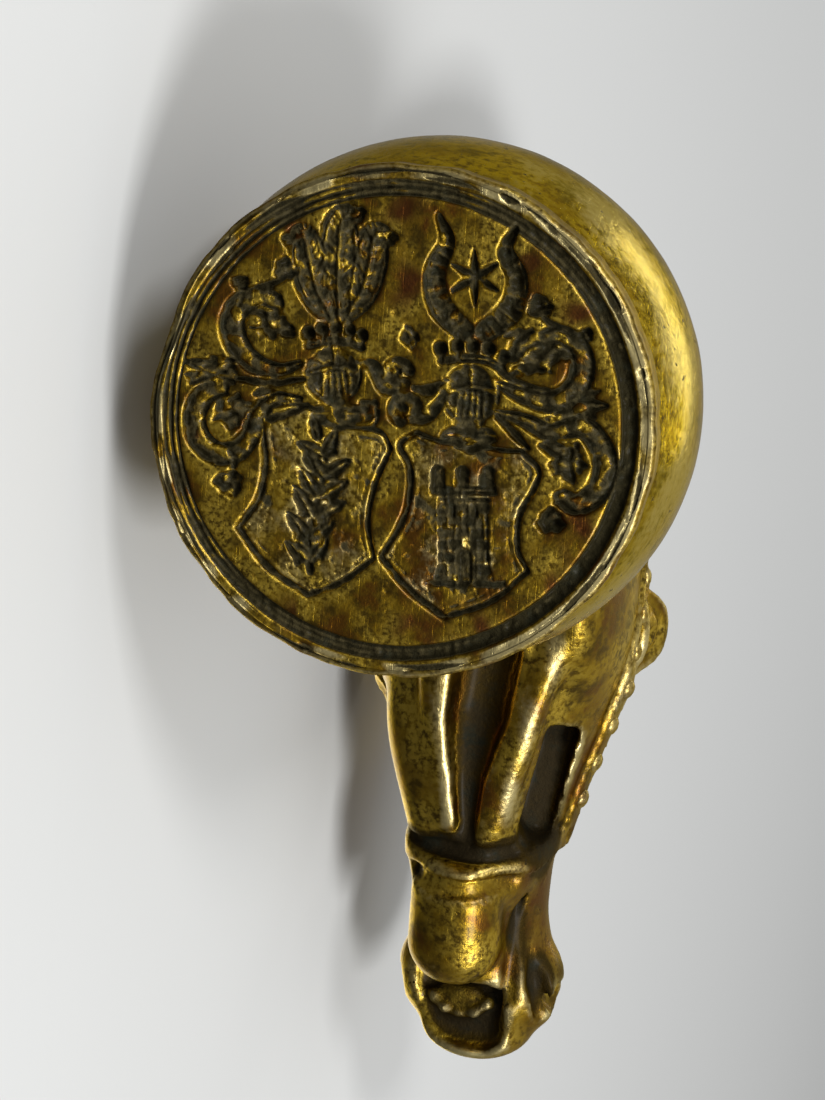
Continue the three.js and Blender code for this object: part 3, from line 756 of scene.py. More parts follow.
def engrave_wear(die, seed):
    """Years of use: knocked rim, scratches across the field, and small pits."""
    for x, y, wide, high, deep in NICKS:
        die.hollow((x, y), wide, high, deep, math.degrees(math.atan2(y, x)))
    rng = np.random.default_rng(seed)
    for _ in range(70):
        x, y = rng.uniform(-10.5, 10.5, 2)
        turn = rng.normal(1.9, 0.7)
        end = polar((x, y), rng.uniform(0.5, 3.0), turn)
        die.sink(path([(x, y), end], 0.02, 0.1, 0.02), rng.uniform(0.008, 0.024), vee)
    for _ in range(90):
        turn, out = rng.uniform(0, 2 * math.pi), 11.0 * math.sqrt(rng.uniform(0, 1))
        size = rng.uniform(0.08, 0.2)
        die.hollow(polar((0, 0), out, turn), size, size * 0.8, rng.uniform(0.03, 0.09))
    places = die.places()
    die.depth += 0.016 * (swell(places, 3.2, seed + 1) + 0.6 * swell(places, 1.2, seed + 2)) + 0.02
    die.depth = np.maximum(die.depth, 0)


def disc_grid(count, radius):
    """A square grid of points pressed into a disc, whose rows run round its edge."""
    x, y = np.meshgrid(np.linspace(-1, 1, count), np.linspace(-1, 1, count), indexing="ij")
    wide = np.abs(x) > np.abs(y)
    ring_share = np.where(wide, x, y)
    other = np.where(wide, y, x)
    safe = np.where(ring_share == 0, 1, ring_share)
    turn = math.pi / 4 * other / safe
    along, across = ring_share * np.cos(turn), ring_share * np.sin(turn)
    return radius * np.where(wide, along, across), radius * np.where(wide, across, along)


def blurred(grid, rounds):
    """A square grid of values, each mixed with its neighbours over and over."""
    for _ in range(rounds):
        padded = np.pad(grid, 1, mode="edge")
        grid = (padded[:-2, 1:-1] + padded[2:, 1:-1] + padded[1:-1, :-2] + padded[1:-1, 2:] + grid * 2) / 6
    return grid


# The points along a side of the face's grid, and the radii of the design, its field and its rim.
FULL_ROWS, QUICK_ROWS = 284, 150
DESIGN_RADIUS = 13.0
FIELD_RADIUS = 11.1
RIM_INSIDE = 12.15

# A flat knocked on the rim: its way, its reach round the rim, its depth and where the face starts to bend.
FLAT_TURN, FLAT_REACH, FLAT_DEPTH = math.radians(16), 0.16, 0.3
BENT_FROM = 11.9

# Dirt in the cuts, and painted shade in those on the face's right half: the depth where it starts, the
# depth over which it fills, and how thick it lies.
DIRT_IN_CUTS = (0.05, 0.16, 0.48)
DIRT_IN_CLOTS = (0.08, 0.2, 0.24)
# This row is painted shade, for the cuts on the face's right half.
PAINTED_SHADE_IN_CUTS = (0.26, 0.16, 0.28)
DIRT_IN_CHARGES = (0.185, 0.08, 0.46)

# Brown and red patches on the field: right, up and radius.
STAINS = ((0.8, 10.5, 1.8), (-5.3, 9.6, 1.3), (7.0, 8.3, 1.4), (9.3, 5.6, 1.2), (0.5, 7.0, 1.4),
          (4.2, -10.4, 2.0), (9.2, -5.4, 2.0), (-3.9, 6.4, 0.9), (-5.2, -9.9, 1.3),
          (0.9, -10.4, 1.4), (7.6, -8.0, 1.5), (-10.6, -0.6, 0.7))


def engrave_design(die):
    """Everything inside the border."""
    engrave_shield(die, SHIELD_LEFT, 11)
    engrave_shield(die, SHIELD_RIGHT, 21)
    engrave_mantling(die)
    engrave_helm(die, (-3.2, 2.55), 1.3, 1.45, -6)
    engrave_helm(die, (3.75, 1.6), 1.28, 1.55, 4)
    engrave_coronet(die, [(-4.45, 4.6), (-3.75, 4.8), (-3.05, 4.85), (-2.35, 4.75), (-1.7, 4.5)], 0.36)
    engrave_coronet(die, [(2.3, 3.85), (3.1, 3.95), (3.9, 3.98), (4.7, 3.82), (5.4, 3.4)], 0.37)
    engrave_plumes(die)
    engrave_horns(die)
    engrave_branch(die)
    engrave_tower(die)
    roughen(die, 51)


def dirt(depth, start, over, thick):
    """How thick dirt, or painted shade, lies in a cut of some depth."""
    return thick * ease((depth - start) / over)


def die_finish(die, depth):
    """Dirt, rubbed metal and stains on the die's face, at each of its points, with painted shade in the
    cuts of its right half and a painted highlight on its rim there.
    """
    shape = depth.shape
    places = die.places()
    near = blurred(depth, 8)
    out = np.hypot(die.right, die.up).reshape(shape)
    ground = die.ground.reshape(shape)
    patchy = swell(places, 2.4, 61, 30).reshape(shape)
    clots = swell(places, 0.9, 63, 30).reshape(shape) * (out < FIELD_RADIUS)
    streaks = swell(np.column_stack([places * 0.3, out.ravel() * 3]), 1.0, 62, 30).reshape(shape)
    # Painted shade and highlight: towards the face's right its cuts are darkened and its rim made paler.
    right_side_shade_and_highlight = ease((die.right - 1) / 5).reshape(shape)
    rim = ease((out - RIM_INSIDE) / 0.15)
    border = ease((depth - 0.1) / 0.12) * ease((out - FIELD_RADIUS) / 0.2)
    grime = blurred(die.soil.reshape(shape), 1) + dirt(depth, *DIRT_IN_CUTS)
    grime += clots * dirt(depth, *DIRT_IN_CLOTS) + right_side_shade_and_highlight * dirt(depth, *PAINTED_SHADE_IN_CUTS)
    grime += ground * dirt(depth, *DIRT_IN_CHARGES)
    grime += np.clip((depth - near) * 6, -0.08, 0.6) + 0.25 * border
    # On the rim the dark streaks thin out and the pale rubbing grows towards the right: a painted
    # highlight.
    grime += rim * (0.85 - 0.3 * right_side_shade_and_highlight) * np.clip(streaks + 0.1, 0, 1.2)
    wear = np.clip((near - depth) * 1.6, 0, 0.3) * np.clip(0.3 + 0.9 * patchy, 0, 1)
    wear += 0.22 * ground * np.clip(0.8 + 0.5 * patchy, 0, 1.2)
    wear += rim * np.clip(0.3 + 0.3 * patchy + 0.6 * right_side_shade_and_highlight, 0.0, 1.0)
    stain = np.zeros(len(places))
    for x, y, reach in STAINS:
        stain = np.maximum(stain, np.exp(-(np.hypot(die.right - x, die.up - y) / reach) ** 2))
    stain *= np.clip(0.65 + 0.5 * swell(places, 1.9, 77, 30), 0, 1.2)
    return grime.ravel(), wear.ravel(), stain


def knocked_flat(angle):
    """How far the rim is knocked in, from the way it faces."""
    return FLAT_DEPTH * np.exp(-(((angle - FLAT_TURN) / FLAT_REACH) ** 2))


def build_die(settings, look):
    """The engraved die: its cut face, knocked rim, turned side and spigot."""
    count = FULL_ROWS
    radius, chamfer = settings.radius / MM, settings.chamfer / MM
    face_radius = radius - chamfer
    scale = radius / DESIGN_RADIUS
    die = Die(*disc_grid(count, face_radius / scale))
    engrave_design(die)
    die.depth *= settings.relief
    engrave_border(die)
    engrave_wear(die, settings.seed)
    depth = blurred(die.depth.reshape(count, count), 1)
    grime, wear, stain = die_finish(die, depth)

    turn = math.radians(settings.tilt_degrees)
    x = -scale * (die.right * math.cos(turn) - die.up * math.sin(turn))
    y = scale * (die.right * math.sin(turn) + die.up * math.cos(turn))
    inner = BENT_FROM * scale
    lean = ease((np.hypot(x, y) - inner) / (face_radius - inner))
    drawn_in = 1 - lean * knocked_flat(np.arctan2(y, x)) / face_radius
    points = [np.column_stack([x * drawn_in, y * drawn_in, depth.ravel()])]

    # Rings behind the face, from the rim round to the hole for the stud: radius, height, grime and wear.
    thick, top = DIE_HIGH[2] - SPIGOT_HEIGHT, DIE_HIGH[2]
    rings = np.array((
        (radius - chamfer * 0.45, 0.09, 0.0, 0.4),
        (radius - chamfer * 0.1, 0.24, 0.05, 0.15),
        (radius, 0.5, 0.15, 0.3),
        (radius, thick * 0.6, 0.3, 0.1),
        (radius, thick - 0.12, 0.35, 0.25),
        (radius - 0.14, thick, 0.6, 0.2),
        (SPIGOT_RADIUS, thick, 0.5, 0.0),
        (SPIGOT_RADIUS, top, 0.5, 0.0),
        (STUD_BORE, top, 0.5, 0.0),
        (STUD_BORE, STUD_LOW[2] - SEAT, 0.5, 0.0),
    ))
    dented_rings = 5
    index = np.arange(count * count).reshape(count, count)
    edge = np.concatenate([index[:-1, 0], index[-1, :-1], index[:0:-1, -1], index[0, :0:-1]])
    angle = np.arctan2(y[edge], x[edge])
    round_edge = np.column_stack([np.cos(angle), np.sin(angle)])
    waves = 0.04 * swell(round_edge * radius, 3.6, 9) + 0.015 * swell(round_edge * radius, 1.3, 10)
    dent = knocked_flat(angle) + np.clip(waves + 0.03, 0, None)
    for step, (reach, height, _, _) in enumerate(rings):
        inward = dent if step < dented_rings else 0 * dent
        points.append(np.column_stack([round_edge * (reach - inward)[:, None], np.full(len(edge), height)]))
    points.append([[0, 0, STUD_LOW[2] - SEAT]])
    squares = np.stack([index[:-1, :-1], index[1:, :-1], index[1:, 1:], index[:-1, 1:]], axis=-1)
    faces = squares.reshape(-1, 4).tolist()
    loops = [edge] + [count * count + len(edge) * k + np.arange(len(edge)) for k in range(len(rings))]
    for inner, outer in zip(loops, loops[1:]):
        faces += np.stack([inner, np.roll(inner, -1), np.roll(outer, -1), outer], axis=-1).tolist()
    hub = np.full(len(edge), count * count + len(edge) * len(rings))
    faces += np.stack([loops[-1], np.roll(loops[-1], -1), hub], axis=-1).tolist()
    piece = mesh_piece(
        "engraved_die", np.vstack(points), faces, engraved_brass(look),
        grime=np.concatenate([grime, np.repeat(rings[:, 2], len(edge)), [0.5]]),
        wear=np.concatenate([wear, np.repeat(rings[:, 3], len(edge)), [0]]),
        stain=np.concatenate([stain, np.zeros(len(edge) * len(rings) + 1)]),
    )
    seat(piece, ["matrix_plate"])


# Turned pieces, made by Geometry Nodes.

def group_input(tree, name, kind, default=None):
    socket = tree.interface.new_socket(name=name, in_out="INPUT", socket_type=kind)
    if default is not None:
        socket.default_value = default
    return socket


def turning_tree():
    """A lathe: turns an outline in the XZ plane once round Z, then dents it a little."""
    tree = bpy.data.node_groups.new("Turn on a lathe", "GeometryNodeTree")
    group_input(tree, "Outline", "NodeSocketGeometry")
    group_input(tree, "Sides", "NodeSocketInt", 192)
    group_input(tree, "Dent Depth", "NodeSocketFloat", 0.00005)
    group_input(tree, "Dents per Metre", "NodeSocketFloat", 200.0)
    group_input(tree, "Material", "NodeSocketMaterial")
    tree.interface.new_socket(name="Turned", in_out="OUTPUT", socket_type="NodeSocketGeometry")
    given = add(tree, "NodeGroupInput").outputs
    count = add(tree, "GeometryNodeAttributeDomainSize", {"Geometry": given["Outline"]})
    rows = add(tree, MATH, {0: count, 1: 1.0}, operation="ADD")
    columns = add(tree, MATH, {0: given["Sides"], 1: 1.0}, operation="ADD")
    sheet = add(tree, "GeometryNodeMeshGrid", {"Vertices X": rows, "Vertices Y": columns})
    index = add(tree, "GeometryNodeInputIndex")
    share = add(tree, MATH, {0: index, 1: columns}, operation="DIVIDE")
    row = add(tree, MATH, {0: share}, operation="FLOOR")
    column = add(tree, MATH, {0: index, 1: columns}, operation="MODULO")
    source = add(tree, MATH, {0: row, 1: count}, operation="MODULO")
    place = add(tree, "GeometryNodeInputPosition")
    sockets = {"Geometry": given["Outline"], "Value": place, "Index": source}
    sample = add(tree, "GeometryNodeSampleIndex", sockets, data_type="FLOAT_VECTOR")
    full = add(tree, MATH, {0: column, 1: 2 * math.pi}, operation="MULTIPLY")
    angle = add(tree, MATH, {0: full, 1: given["Sides"]}, operation="DIVIDE")
    turned = add(tree, "ShaderNodeVectorRotate", {"Vector": sample, "Angle": angle}, rotation_type="Z_AXIS")
    body = add(tree, "GeometryNodeSetPosition", {"Geometry": sheet, "Position": turned})
    body = add(tree, "GeometryNodeMergeByDistance", {"Geometry": body, "Distance": 1e-6})
    sockets = {"Vector": place, "Scale": given["Dents per Metre"], "Detail": 3.0}
    dents = add(tree, NOISE, sockets)
    depth = add(tree, MATH, {0: dents, 1: 0.5}, operation="SUBTRACT")
    depth = add(tree, MATH, {0: depth, 1: given["Dent Depth"]}, operation="MULTIPLY")
    normal = add(tree, "GeometryNodeInputNormal")
    offset = add(tree, "ShaderNodeVectorMath", {0: normal, "Scale": depth}, operation="SCALE")
    body = add(tree, "GeometryNodeSetPosition", {"Geometry": body, "Offset": offset})
    body = add(tree, "GeometryNodeSetShadeSmooth", {"Geometry": body})
    body = add(tree, "GeometryNodeRealizeInstances", {"Geometry": body})
    body = add(tree, "GeometryNodeSetMaterial", {"Geometry": body, "Material": given["Material"]})
    add(tree, "NodeGroupOutput", {"Turned": body})
    return tree


def grown(name, mesh, tree, values):
    """A mesh put through a node tree with these inputs, as a plain piece."""
    source = link_piece(name + "_source", mesh)
    modifier = source.modifiers.new("Shape", "NODES")
    modifier.node_group = tree
    for socket in tree.interface.items_tree:
        if socket.item_type == "SOCKET" and socket.name in values:
            modifier[socket.identifier] = values[socket.name]
    graph = bpy.context.evaluated_depsgraph_get()
    made = bpy.data.meshes.new_from_object(source.evaluated_get(graph))
    source.modifiers.clear()
    bpy.data.objects.remove(source)
    made.name = name
    return link_piece(name, made)


def outline_mesh(name, outline):
    """A turned piece's outline, radius and height in millimetres, as points in the XZ plane."""
    mesh = bpy.data.meshes.new(name)
    mesh.from_pydata([(radius * MM, 0, height * MM) for radius, height in outline], [], [])
    return mesh


def bezier(points, count):
    """Points on a Bezier curve, its ends included."""
    shares = np.linspace(0, 1, count)[:, None]
    order = len(points) - 1
    terms = [math.comb(order, k) * (1 - shares) ** (order - k) * shares ** k * np.array(point)
             for k, point in enumerate(points)]
    return sum(terms)


def subdivided(outline, step):
    """The outline with points added, so that none lie further apart than a step."""
    rows = []
    for start, end in zip(outline, outline[1:] + outline[:1]):
        start, end = np.array(start, float), np.array(end, float)
        count = max(1, math.ceil(np.linalg.norm(end - start) / step))
        rows += [tuple(start + (end - start) * k / count) for k in range(count)]
    return rows


def paint(piece, grime, wear, stain):
    """Gives a piece its attributes as functions of its points, in millimetres."""
    points = np.zeros(len(piece.data.vertices) * 3, np.float32)
    piece.data.vertices.foreach_get("co", points)
    points = points.reshape(-1, 3).astype(float) / MM
    for label, rule in (("grime", grime), ("wear", wear), ("stain", stain)):
        give_attribute(piece.data, label, rule(points))


def build_foot(settings, look):
    """The foot: a turned cushion that flares to its widest ring and rounds in to the collar."""
    low, high = FOOT_LOW[2], FOOT_HIGH[2]
    base, widest, top = settings.base / MM, settings.widest / MM, settings.top / MM
    middle = low + settings.widest_height / MM
    fall = high - middle
    flank = bezier([(base, low + 0.12), (widest, low + (middle - low) * 0.55), (widest, middle)], 26)
    shoulder = bezier([(widest, middle), (widest, middle + fall * 0.62),
                       (top + (widest - top) * 0.62, high), (top, high)], 26)
    recess_top = DIE_HIGH[2] + SEAT
    recess = SPIGOT_RADIUS + CLEARANCE
    outline = [(STUD_BORE, recess_top), (recess, recess_top), (recess, low), (base - 0.12, low)]
    outline += [tuple(point) for point in np.vstack([flank, shoulder[1:]])] + [(STUD_BORE, high)]
    mesh = outline_mesh("foot_outline", subdivided(outline, 0.9))
    values = {"Sides": 240, "Dent Depth": 0.12 * MM, "Dents per Metre": 260.0,
              "Material": polished_brass(look)}
    piece = grown("turned_foot", mesh, turning_tree(), values)

    def grime(points):
        out = np.hypot(points[:, 0], points[:, 1])
        low_band = np.exp(-((points[:, 2] - low) / 0.8) ** 2) * 0.3
        # Painted reflection: a dark band just above the widest ring, along the foot's outline, stands for
        # the dark surroundings mirrored there.
        dark_reflection_band = np.exp(-((points[:, 2] - middle - 1.5) / 1.6) ** 2) * 0.22
        neck_band = np.exp(-((out - 8.9) / 1.2) ** 2) * (points[:, 2] > middle) * 0.6
        patches = 0.1 * swell(points, 6.0, 31) + 0.07 * swell(points, 1.5, 34, 30)
        return low_band + dark_reflection_band + neck_band + patches

    def wear(points):
        ring = np.exp(-((points[:, 2] - middle + 4) / 4.5) ** 2)
        # Rubbed metal round the foot below its widest ring, far paler on its −X side towards the window
        # lamps: a painted highlight where their highlight falls.
        lit_side_highlight = 0.06 + 0.5 * ease((-points[:, 0] - 1) / 9)
        return np.clip(ring * (lit_side_highlight + 0.1 * swell(points, 4.0, 32)), 0, 0.66)

    paint(piece, grime, wear, lambda points: np.clip(0.12 * swell(points, 7.0, 33), 0, 0.3))
    seat(piece, ["foot_dome"])


def build_collar(settings, look):
    """The collar: one round bead between two fine fillets, over the joint of foot and neck."""
    low, high = COLLAR_LOW[2], COLLAR_HIGH[2]
    radius, waist = settings.radius / MM, settings.waist / MM
    fillet = 0.45
    turns = np.linspace(-math.pi / 2, math.pi / 2, 22)
    middle, half = (low + high) / 2, (high - low) / 2 - fillet
    bead = [(waist + (radius - waist) * math.cos(turn), middle + half * math.sin(turn)) for turn in turns]
    outline = [(STUD_BORE, low), (waist + 0.3, low), (waist + 0.42, low + 0.12), (waist + 0.42, low + 0.3),
               (waist + 0.1, low + fillet)]
    outline += bead[1:-1]
    outline += [(waist + 0.1, high - fillet), (waist + 0.42, high - 0.3), (waist + 0.42, high - 0.12),
                (waist + 0.3, high), (STUD_BORE, high)]
    mesh = outline_mesh("collar_outline", subdivided(outline, 0.8))
    values = {"Sides": 200, "Dent Depth": 0.06 * MM, "Dents per Metre": 300.0,
              "Material": polished_brass(look)}
    piece = grown("turned_collar", mesh, turning_tree(), values)

    def grime(points):
        out = np.hypot(points[:, 0], points[:, 1])
        return np.clip((waist + 0.5 - out) / 0.5, 0, 1) * 0.8

    def wear(points):
        out = np.hypot(points[:, 0], points[:, 1])
        return np.clip((out - radius + 0.45) / 0.9, 0, 0.4)

    paint(piece, grime, wear, lambda points: np.clip(0.2 * swell(points, 5.0, 35), 0, 1))
    seat(piece, ["neck_collar"])


# Modelling clay: solids joined and cut as distances on a grid, in millimetres, less than zero inside.

FAR = 60.0


def soft_least(first, second, reach):
    """The smaller of two distances, rounded where they meet."""
    share = np.clip(0.5 + 0.5 * (second - first) / reach, 0, 1)
    return second + (first - second) * share - reach * share * (1 - share)


def own_axes(turn):
    """A shape's own three axes, once it is turned about X, Y, then Z by degrees."""
    rows = np.eye(3)
    for axis, degrees in zip("XYZ", turn):
        rows = np.array(Matrix.Rotation(math.radians(degrees), 3, axis)) @ rows
    return rows.T


def egg(centre, radii, turn=(0.0, 0.0, 0.0)):
    """An egg of those half sizes."""
    axes = own_axes(turn)

    def distance(x, y, z):
        x, y, z = x - centre[0], y - centre[1], z - centre[2]
        near, slope = 0, 0
        for axis, radius in zip(axes, radii):
            part = (axis[0] * x + axis[1] * y + axis[2] * z) / radius
            near = near + part ** 2
            slope = slope + (part / radius) ** 2
        near = np.sqrt(near)
        return near * (near - 1) / np.maximum(np.sqrt(slope), 1e-6)

    reach = max(radii)
    return distance, np.array(centre) - reach, np.array(centre) + reach


def limb(points, *radii, step=0.9):
    """A round bar through points whose radius goes through these values."""
    line = even_line(points, step)
    radius = spread(radii, len(line))

    def distance(x, y, z):
        best = FAR
        for start, (sx, sy, sz), thick, thin in zip(line, np.diff(line, axis=0), radius, radius[1:]):
            px, py, pz = x - start[0], y - start[1], z - start[2]
            along = np.clip((px * sx + py * sy + pz * sz) / (sx * sx + sy * sy + sz * sz), 0, 1)
            gap = np.sqrt((px - along * sx) ** 2 + (py - along * sy) ** 2 + (pz - along * sz) ** 2)
            best = np.minimum(best, gap - thick - along * (thin - thick))
        return best

    reach = radius.max()
    return distance, line.min(axis=0) - reach, line.max(axis=0) + reach


class Clay:
    """A lump that is modelled by adding and cutting shapes."""

    def __init__(self, low, high, step):
        self.low = np.array(low, float)
        self.step = step
        counts = np.ceil((np.array(high) - self.low) / step).astype(int) + 1
        self.axes = [self.low[k] + step * np.arange(counts[k]) for k in range(3)]
        self.field = np.full(counts, FAR, np.float32)

    def open_grid(self):
        return np.ix_(*self.axes)

    def window(self, shape, margin):
        """The part of the grid that a shape can change, and its distances there."""
        distance, low, high = shape
        cut = []
        for axis, start, end in zip(self.axes, low - margin, high + margin):
            cut.append(slice(max(0, np.searchsorted(axis, start)), np.searchsorted(axis, end)))
        x, y, z = np.ix_(*[axis[part].astype(np.float32) for axis, part in zip(self.axes, cut)])
        return tuple(cut), distance(x, y, z)

    def add(self, shape, soft=0.5):
        place, gap = self.window(shape, soft + 1.0)
        self.field[place] = soft_least(self.field[place], gap, soft)

    def cut(self, shape, soft=0.3):
        place, gap = self.window(shape, soft + 0.5)
        self.field[place] = -soft_least(-self.field[place], gap, soft)

    def join(self, gap, soft):
        """Adds distances that are given on the whole grid."""
        self.field = soft_least(self.field, gap, soft).astype(np.float32)

    def as_distance(self, level):
        """A level that is zero on a surface, turned into distances near it."""
        slopes = np.gradient(level, self.step)
        return level / np.maximum(np.sqrt(sum(slope ** 2 for slope in slopes)), 1e-3)

    def sample(self, grid, points):
        """A grid's values at points between its own."""
        place = (points - self.low) / self.step
        whole = np.clip(np.floor(place).astype(int), 0, np.array(grid.shape) - 2)
        share = np.clip(place - whole, 0, 1)
        total = 0
        for corner in np.ndindex(2, 2, 2):
            at = whole + corner
            weight = np.prod(np.where(corner, share, 1 - share), axis=1)
            total = total + weight * grid[at[:, 0], at[:, 1], at[:, 2]]
        return total

    def skin(self):
        """The points and four-sided faces of the surface, one point in each cell that it crosses."""
        field = np.pad(self.field[1:-1, 1:-1, 1:-1], 1, constant_values=FAR)
        inside = field < 0
        cells = np.array(field.shape) - 1
        total = np.zeros((np.prod(cells), 3))
        hits = np.zeros(np.prod(cells))
        quads = []
        for axis in range(3):
            lower = [slice(None)] * 3
            upper = [slice(None)] * 3
            lower[axis], upper[axis] = slice(None, -1), slice(1, None)
            crossing = inside[tuple(lower)] != inside[tuple(upper)]
            base = np.argwhere(crossing)
            start = field[tuple(lower)][crossing]
            end = field[tuple(upper)][crossing]
            point = base.astype(float)
            point[:, axis] += start / (start - end)
            one, two = (axis + 1) % 3, (axis + 2) % 3
            corners = []
            for first, second in ((0, 0), (-1, 0), (-1, -1), (0, -1)):
                cell = base.copy()
                cell[:, one] += first
                cell[:, two] += second
                flat = np.ravel_multi_index(cell.T, cells)
                corners.append(flat)
                hits += np.bincount(flat, minlength=len(hits))
                for k in range(3):
                    total[:, k] += np.bincount(flat, weights=point[:, k], minlength=len(hits))
            quad = np.stack(corners, axis=-1)
            quads.append(np.where((start < 0)[:, None], quad, quad[:, ::-1]))
        quads = np.vstack(quads)
        used, faces = np.unique(quads, return_inverse=True)
        points = total[used] / hits[used][:, None] * self.step + self.low
        return points, faces.reshape(quads.shape)


def box_blur(grid, reach, rounds=2):
    """A grid of values averaged over a cube round each."""
    for _ in range(rounds):
        for axis in range(3):
            sums = np.cumsum(np.pad(grid, [(reach + 1, reach) if k == axis else (0, 0) for k in range(3)],
                                    mode="edge"), axis=axis, dtype=np.float32)
            ahead = [slice(None)] * 3
            behind = [slice(None)] * 3
            ahead[axis] = slice(2 * reach + 1, None)
            behind[axis] = slice(None, -2 * reach - 1)
            grid = (sums[tuple(ahead)] - sums[tuple(behind)]) / (2 * reach + 1)
    return grid


# The horse's head. Its places are shares of its length from the poll and of its depth from the jaw.
POLL_BACK = 2.0
HEAD_LENGTH = POLL_BACK - HEAD_LOW[1]
HEAD_DEPTH = 25.0
HEAD_WIDTH = 20.6
SIDE_SET = -1.5
NECK_LOW = HEAD_LOW[2]
JAW_RISE = 7.5
NECK_HEIGHT, NECK_DEPTH, NECK_WIDTH = 32.0, 19.0, 14.6

# Evenly spaced from poll to lip: top, bottom, half width, jaw taper, crown taper.
HEAD_SHARES = np.array((
    (0.9, 0.55, 0.26, 0.2, 0.3),
    (1.03, 0.18, 0.365, 0.36, 0.35),
    (1.05, 0.01, 0.39, 0.5, 0.38),
    (1.0, -0.03, 0.395, 0.52, 0.4),
    (0.91, -0.01, 0.4, 0.54, 0.42),
    (0.815, 0.01, 0.36, 0.5, 0.42),
    (0.72, 0.03, 0.28, 0.52, 0.38),
    (0.63, 0.07, 0.225, 0.42, 0.32),
    (0.56, 0.15, 0.215, 0.34, 0.28),
    (0.51, 0.2, 0.22, 0.25, 0.25),
    (0.46, 0.26, 0.16, 0.1, 0.1),
))
# Evenly spaced from collar to poll: middle, half depth, half width, shift to the side.
NECK_SHARES = np.array((
    (0.0, 0.41, 0.534, 0.0),
    (0.0, 0.425, 0.49, 0.15),
    (0.05, 0.475, 0.46, 0.45),
    (0.07, 0.5, 0.46, 0.8),
    (0.08, 0.485, 0.455, 1.0),
    (0.07, 0.43, 0.41, 1.0),
    (-0.02, 0.22, 0.24, 1.0),
))


def along_head(share):
    return POLL_BACK - share * HEAD_LENGTH


def up_head(share):
    return NECK_LOW + JAW_RISE + share * HEAD_DEPTH


def at_shares(table, shares):
    """Each column of a table of shares, at places from 0 to 1."""
    dense = smooth_rows(table)
    rows = np.linspace(0, 1, len(dense))
    return [np.interp(shares, rows, column) for column in dense.T]


def model_skull(clay):
    """The long body of the head, from poll to lip."""
    x, y, z = clay.open_grid()
    share = (POLL_BACK - y) / HEAD_LENGTH
    top, bottom, half, jaw, crown = at_shares(HEAD_SHARES, np.clip(share, 0, 0.98))
    high, low = up_head(top), up_head(bottom)
    up = (z - (high + low) / 2) / ((high - low) / 2)
    bent = np.clip(up, -1, 1)
    taper = 1 - np.where(bent < 0, jaw, crown) * bent ** 2
    across = np.abs(x) / (half * HEAD_WIDTH * taper)
    level = np.sqrt(across ** 2.4 + up ** 2) - 1
    skull = clay.as_distance(level)
    ends = np.maximum((share - 0.93) * HEAD_LENGTH, -share * HEAD_LENGTH)
    clay.join(-soft_least(-skull, -ends, 2.5), 1.0)


def model_neck(clay):
    """The upright neck on the collar, leaning to the head's side as it rises."""
    x, y, z = clay.open_grid()
    share = (z - NECK_LOW) / NECK_HEIGHT
    middle, depth, width, aside = at_shares(NECK_SHARES, np.clip(share, 0, 1))
    across = (x + SIDE_SET - aside * SIDE_SET) / (width * NECK_WIDTH)
    forward = (y - middle * NECK_DEPTH) / (depth * NECK_DEPTH)
    neck = clay.as_distance(np.sqrt(across ** 2 + forward ** 2) - 1)
    ends = np.maximum((share - 1) * NECK_HEIGHT, -share * NECK_HEIGHT)
    clay.join(-soft_least(-neck, -ends, 0.6), 3.0)


def both_sides(point):
    """A point on the horse's left and its twin on the right, with the side as +1 or -1."""
    return [((side * point[0], *point[1:]), side) for side in (1, -1)]


def place(aside, along, rise):
    """A point by its distance from the middle and its shares along the head and up it."""
    return (aside, along_head(along), up_head(rise))


def block(centre, halves, rounding, turn=(0.0, 0.0, 0.0)):
    """A box with rounded edges."""
    axes = own_axes(turn)

    def distance(x, y, z):
        x, y, z = x - centre[0], y - centre[1], z - centre[2]
        total, inner = 0, -FAR
        for axis, half in zip(axes, halves):
            over = np.abs(axis[0] * x + axis[1] * y + axis[2] * z) - half + rounding
            total = total + np.maximum(over, 0) ** 2
            inner = np.maximum(inner, over)
        return np.sqrt(total) + np.minimum(inner, 0) - rounding

    reach = np.linalg.norm(halves)
    return distance, np.array(centre) - reach, np.array(centre) + reach


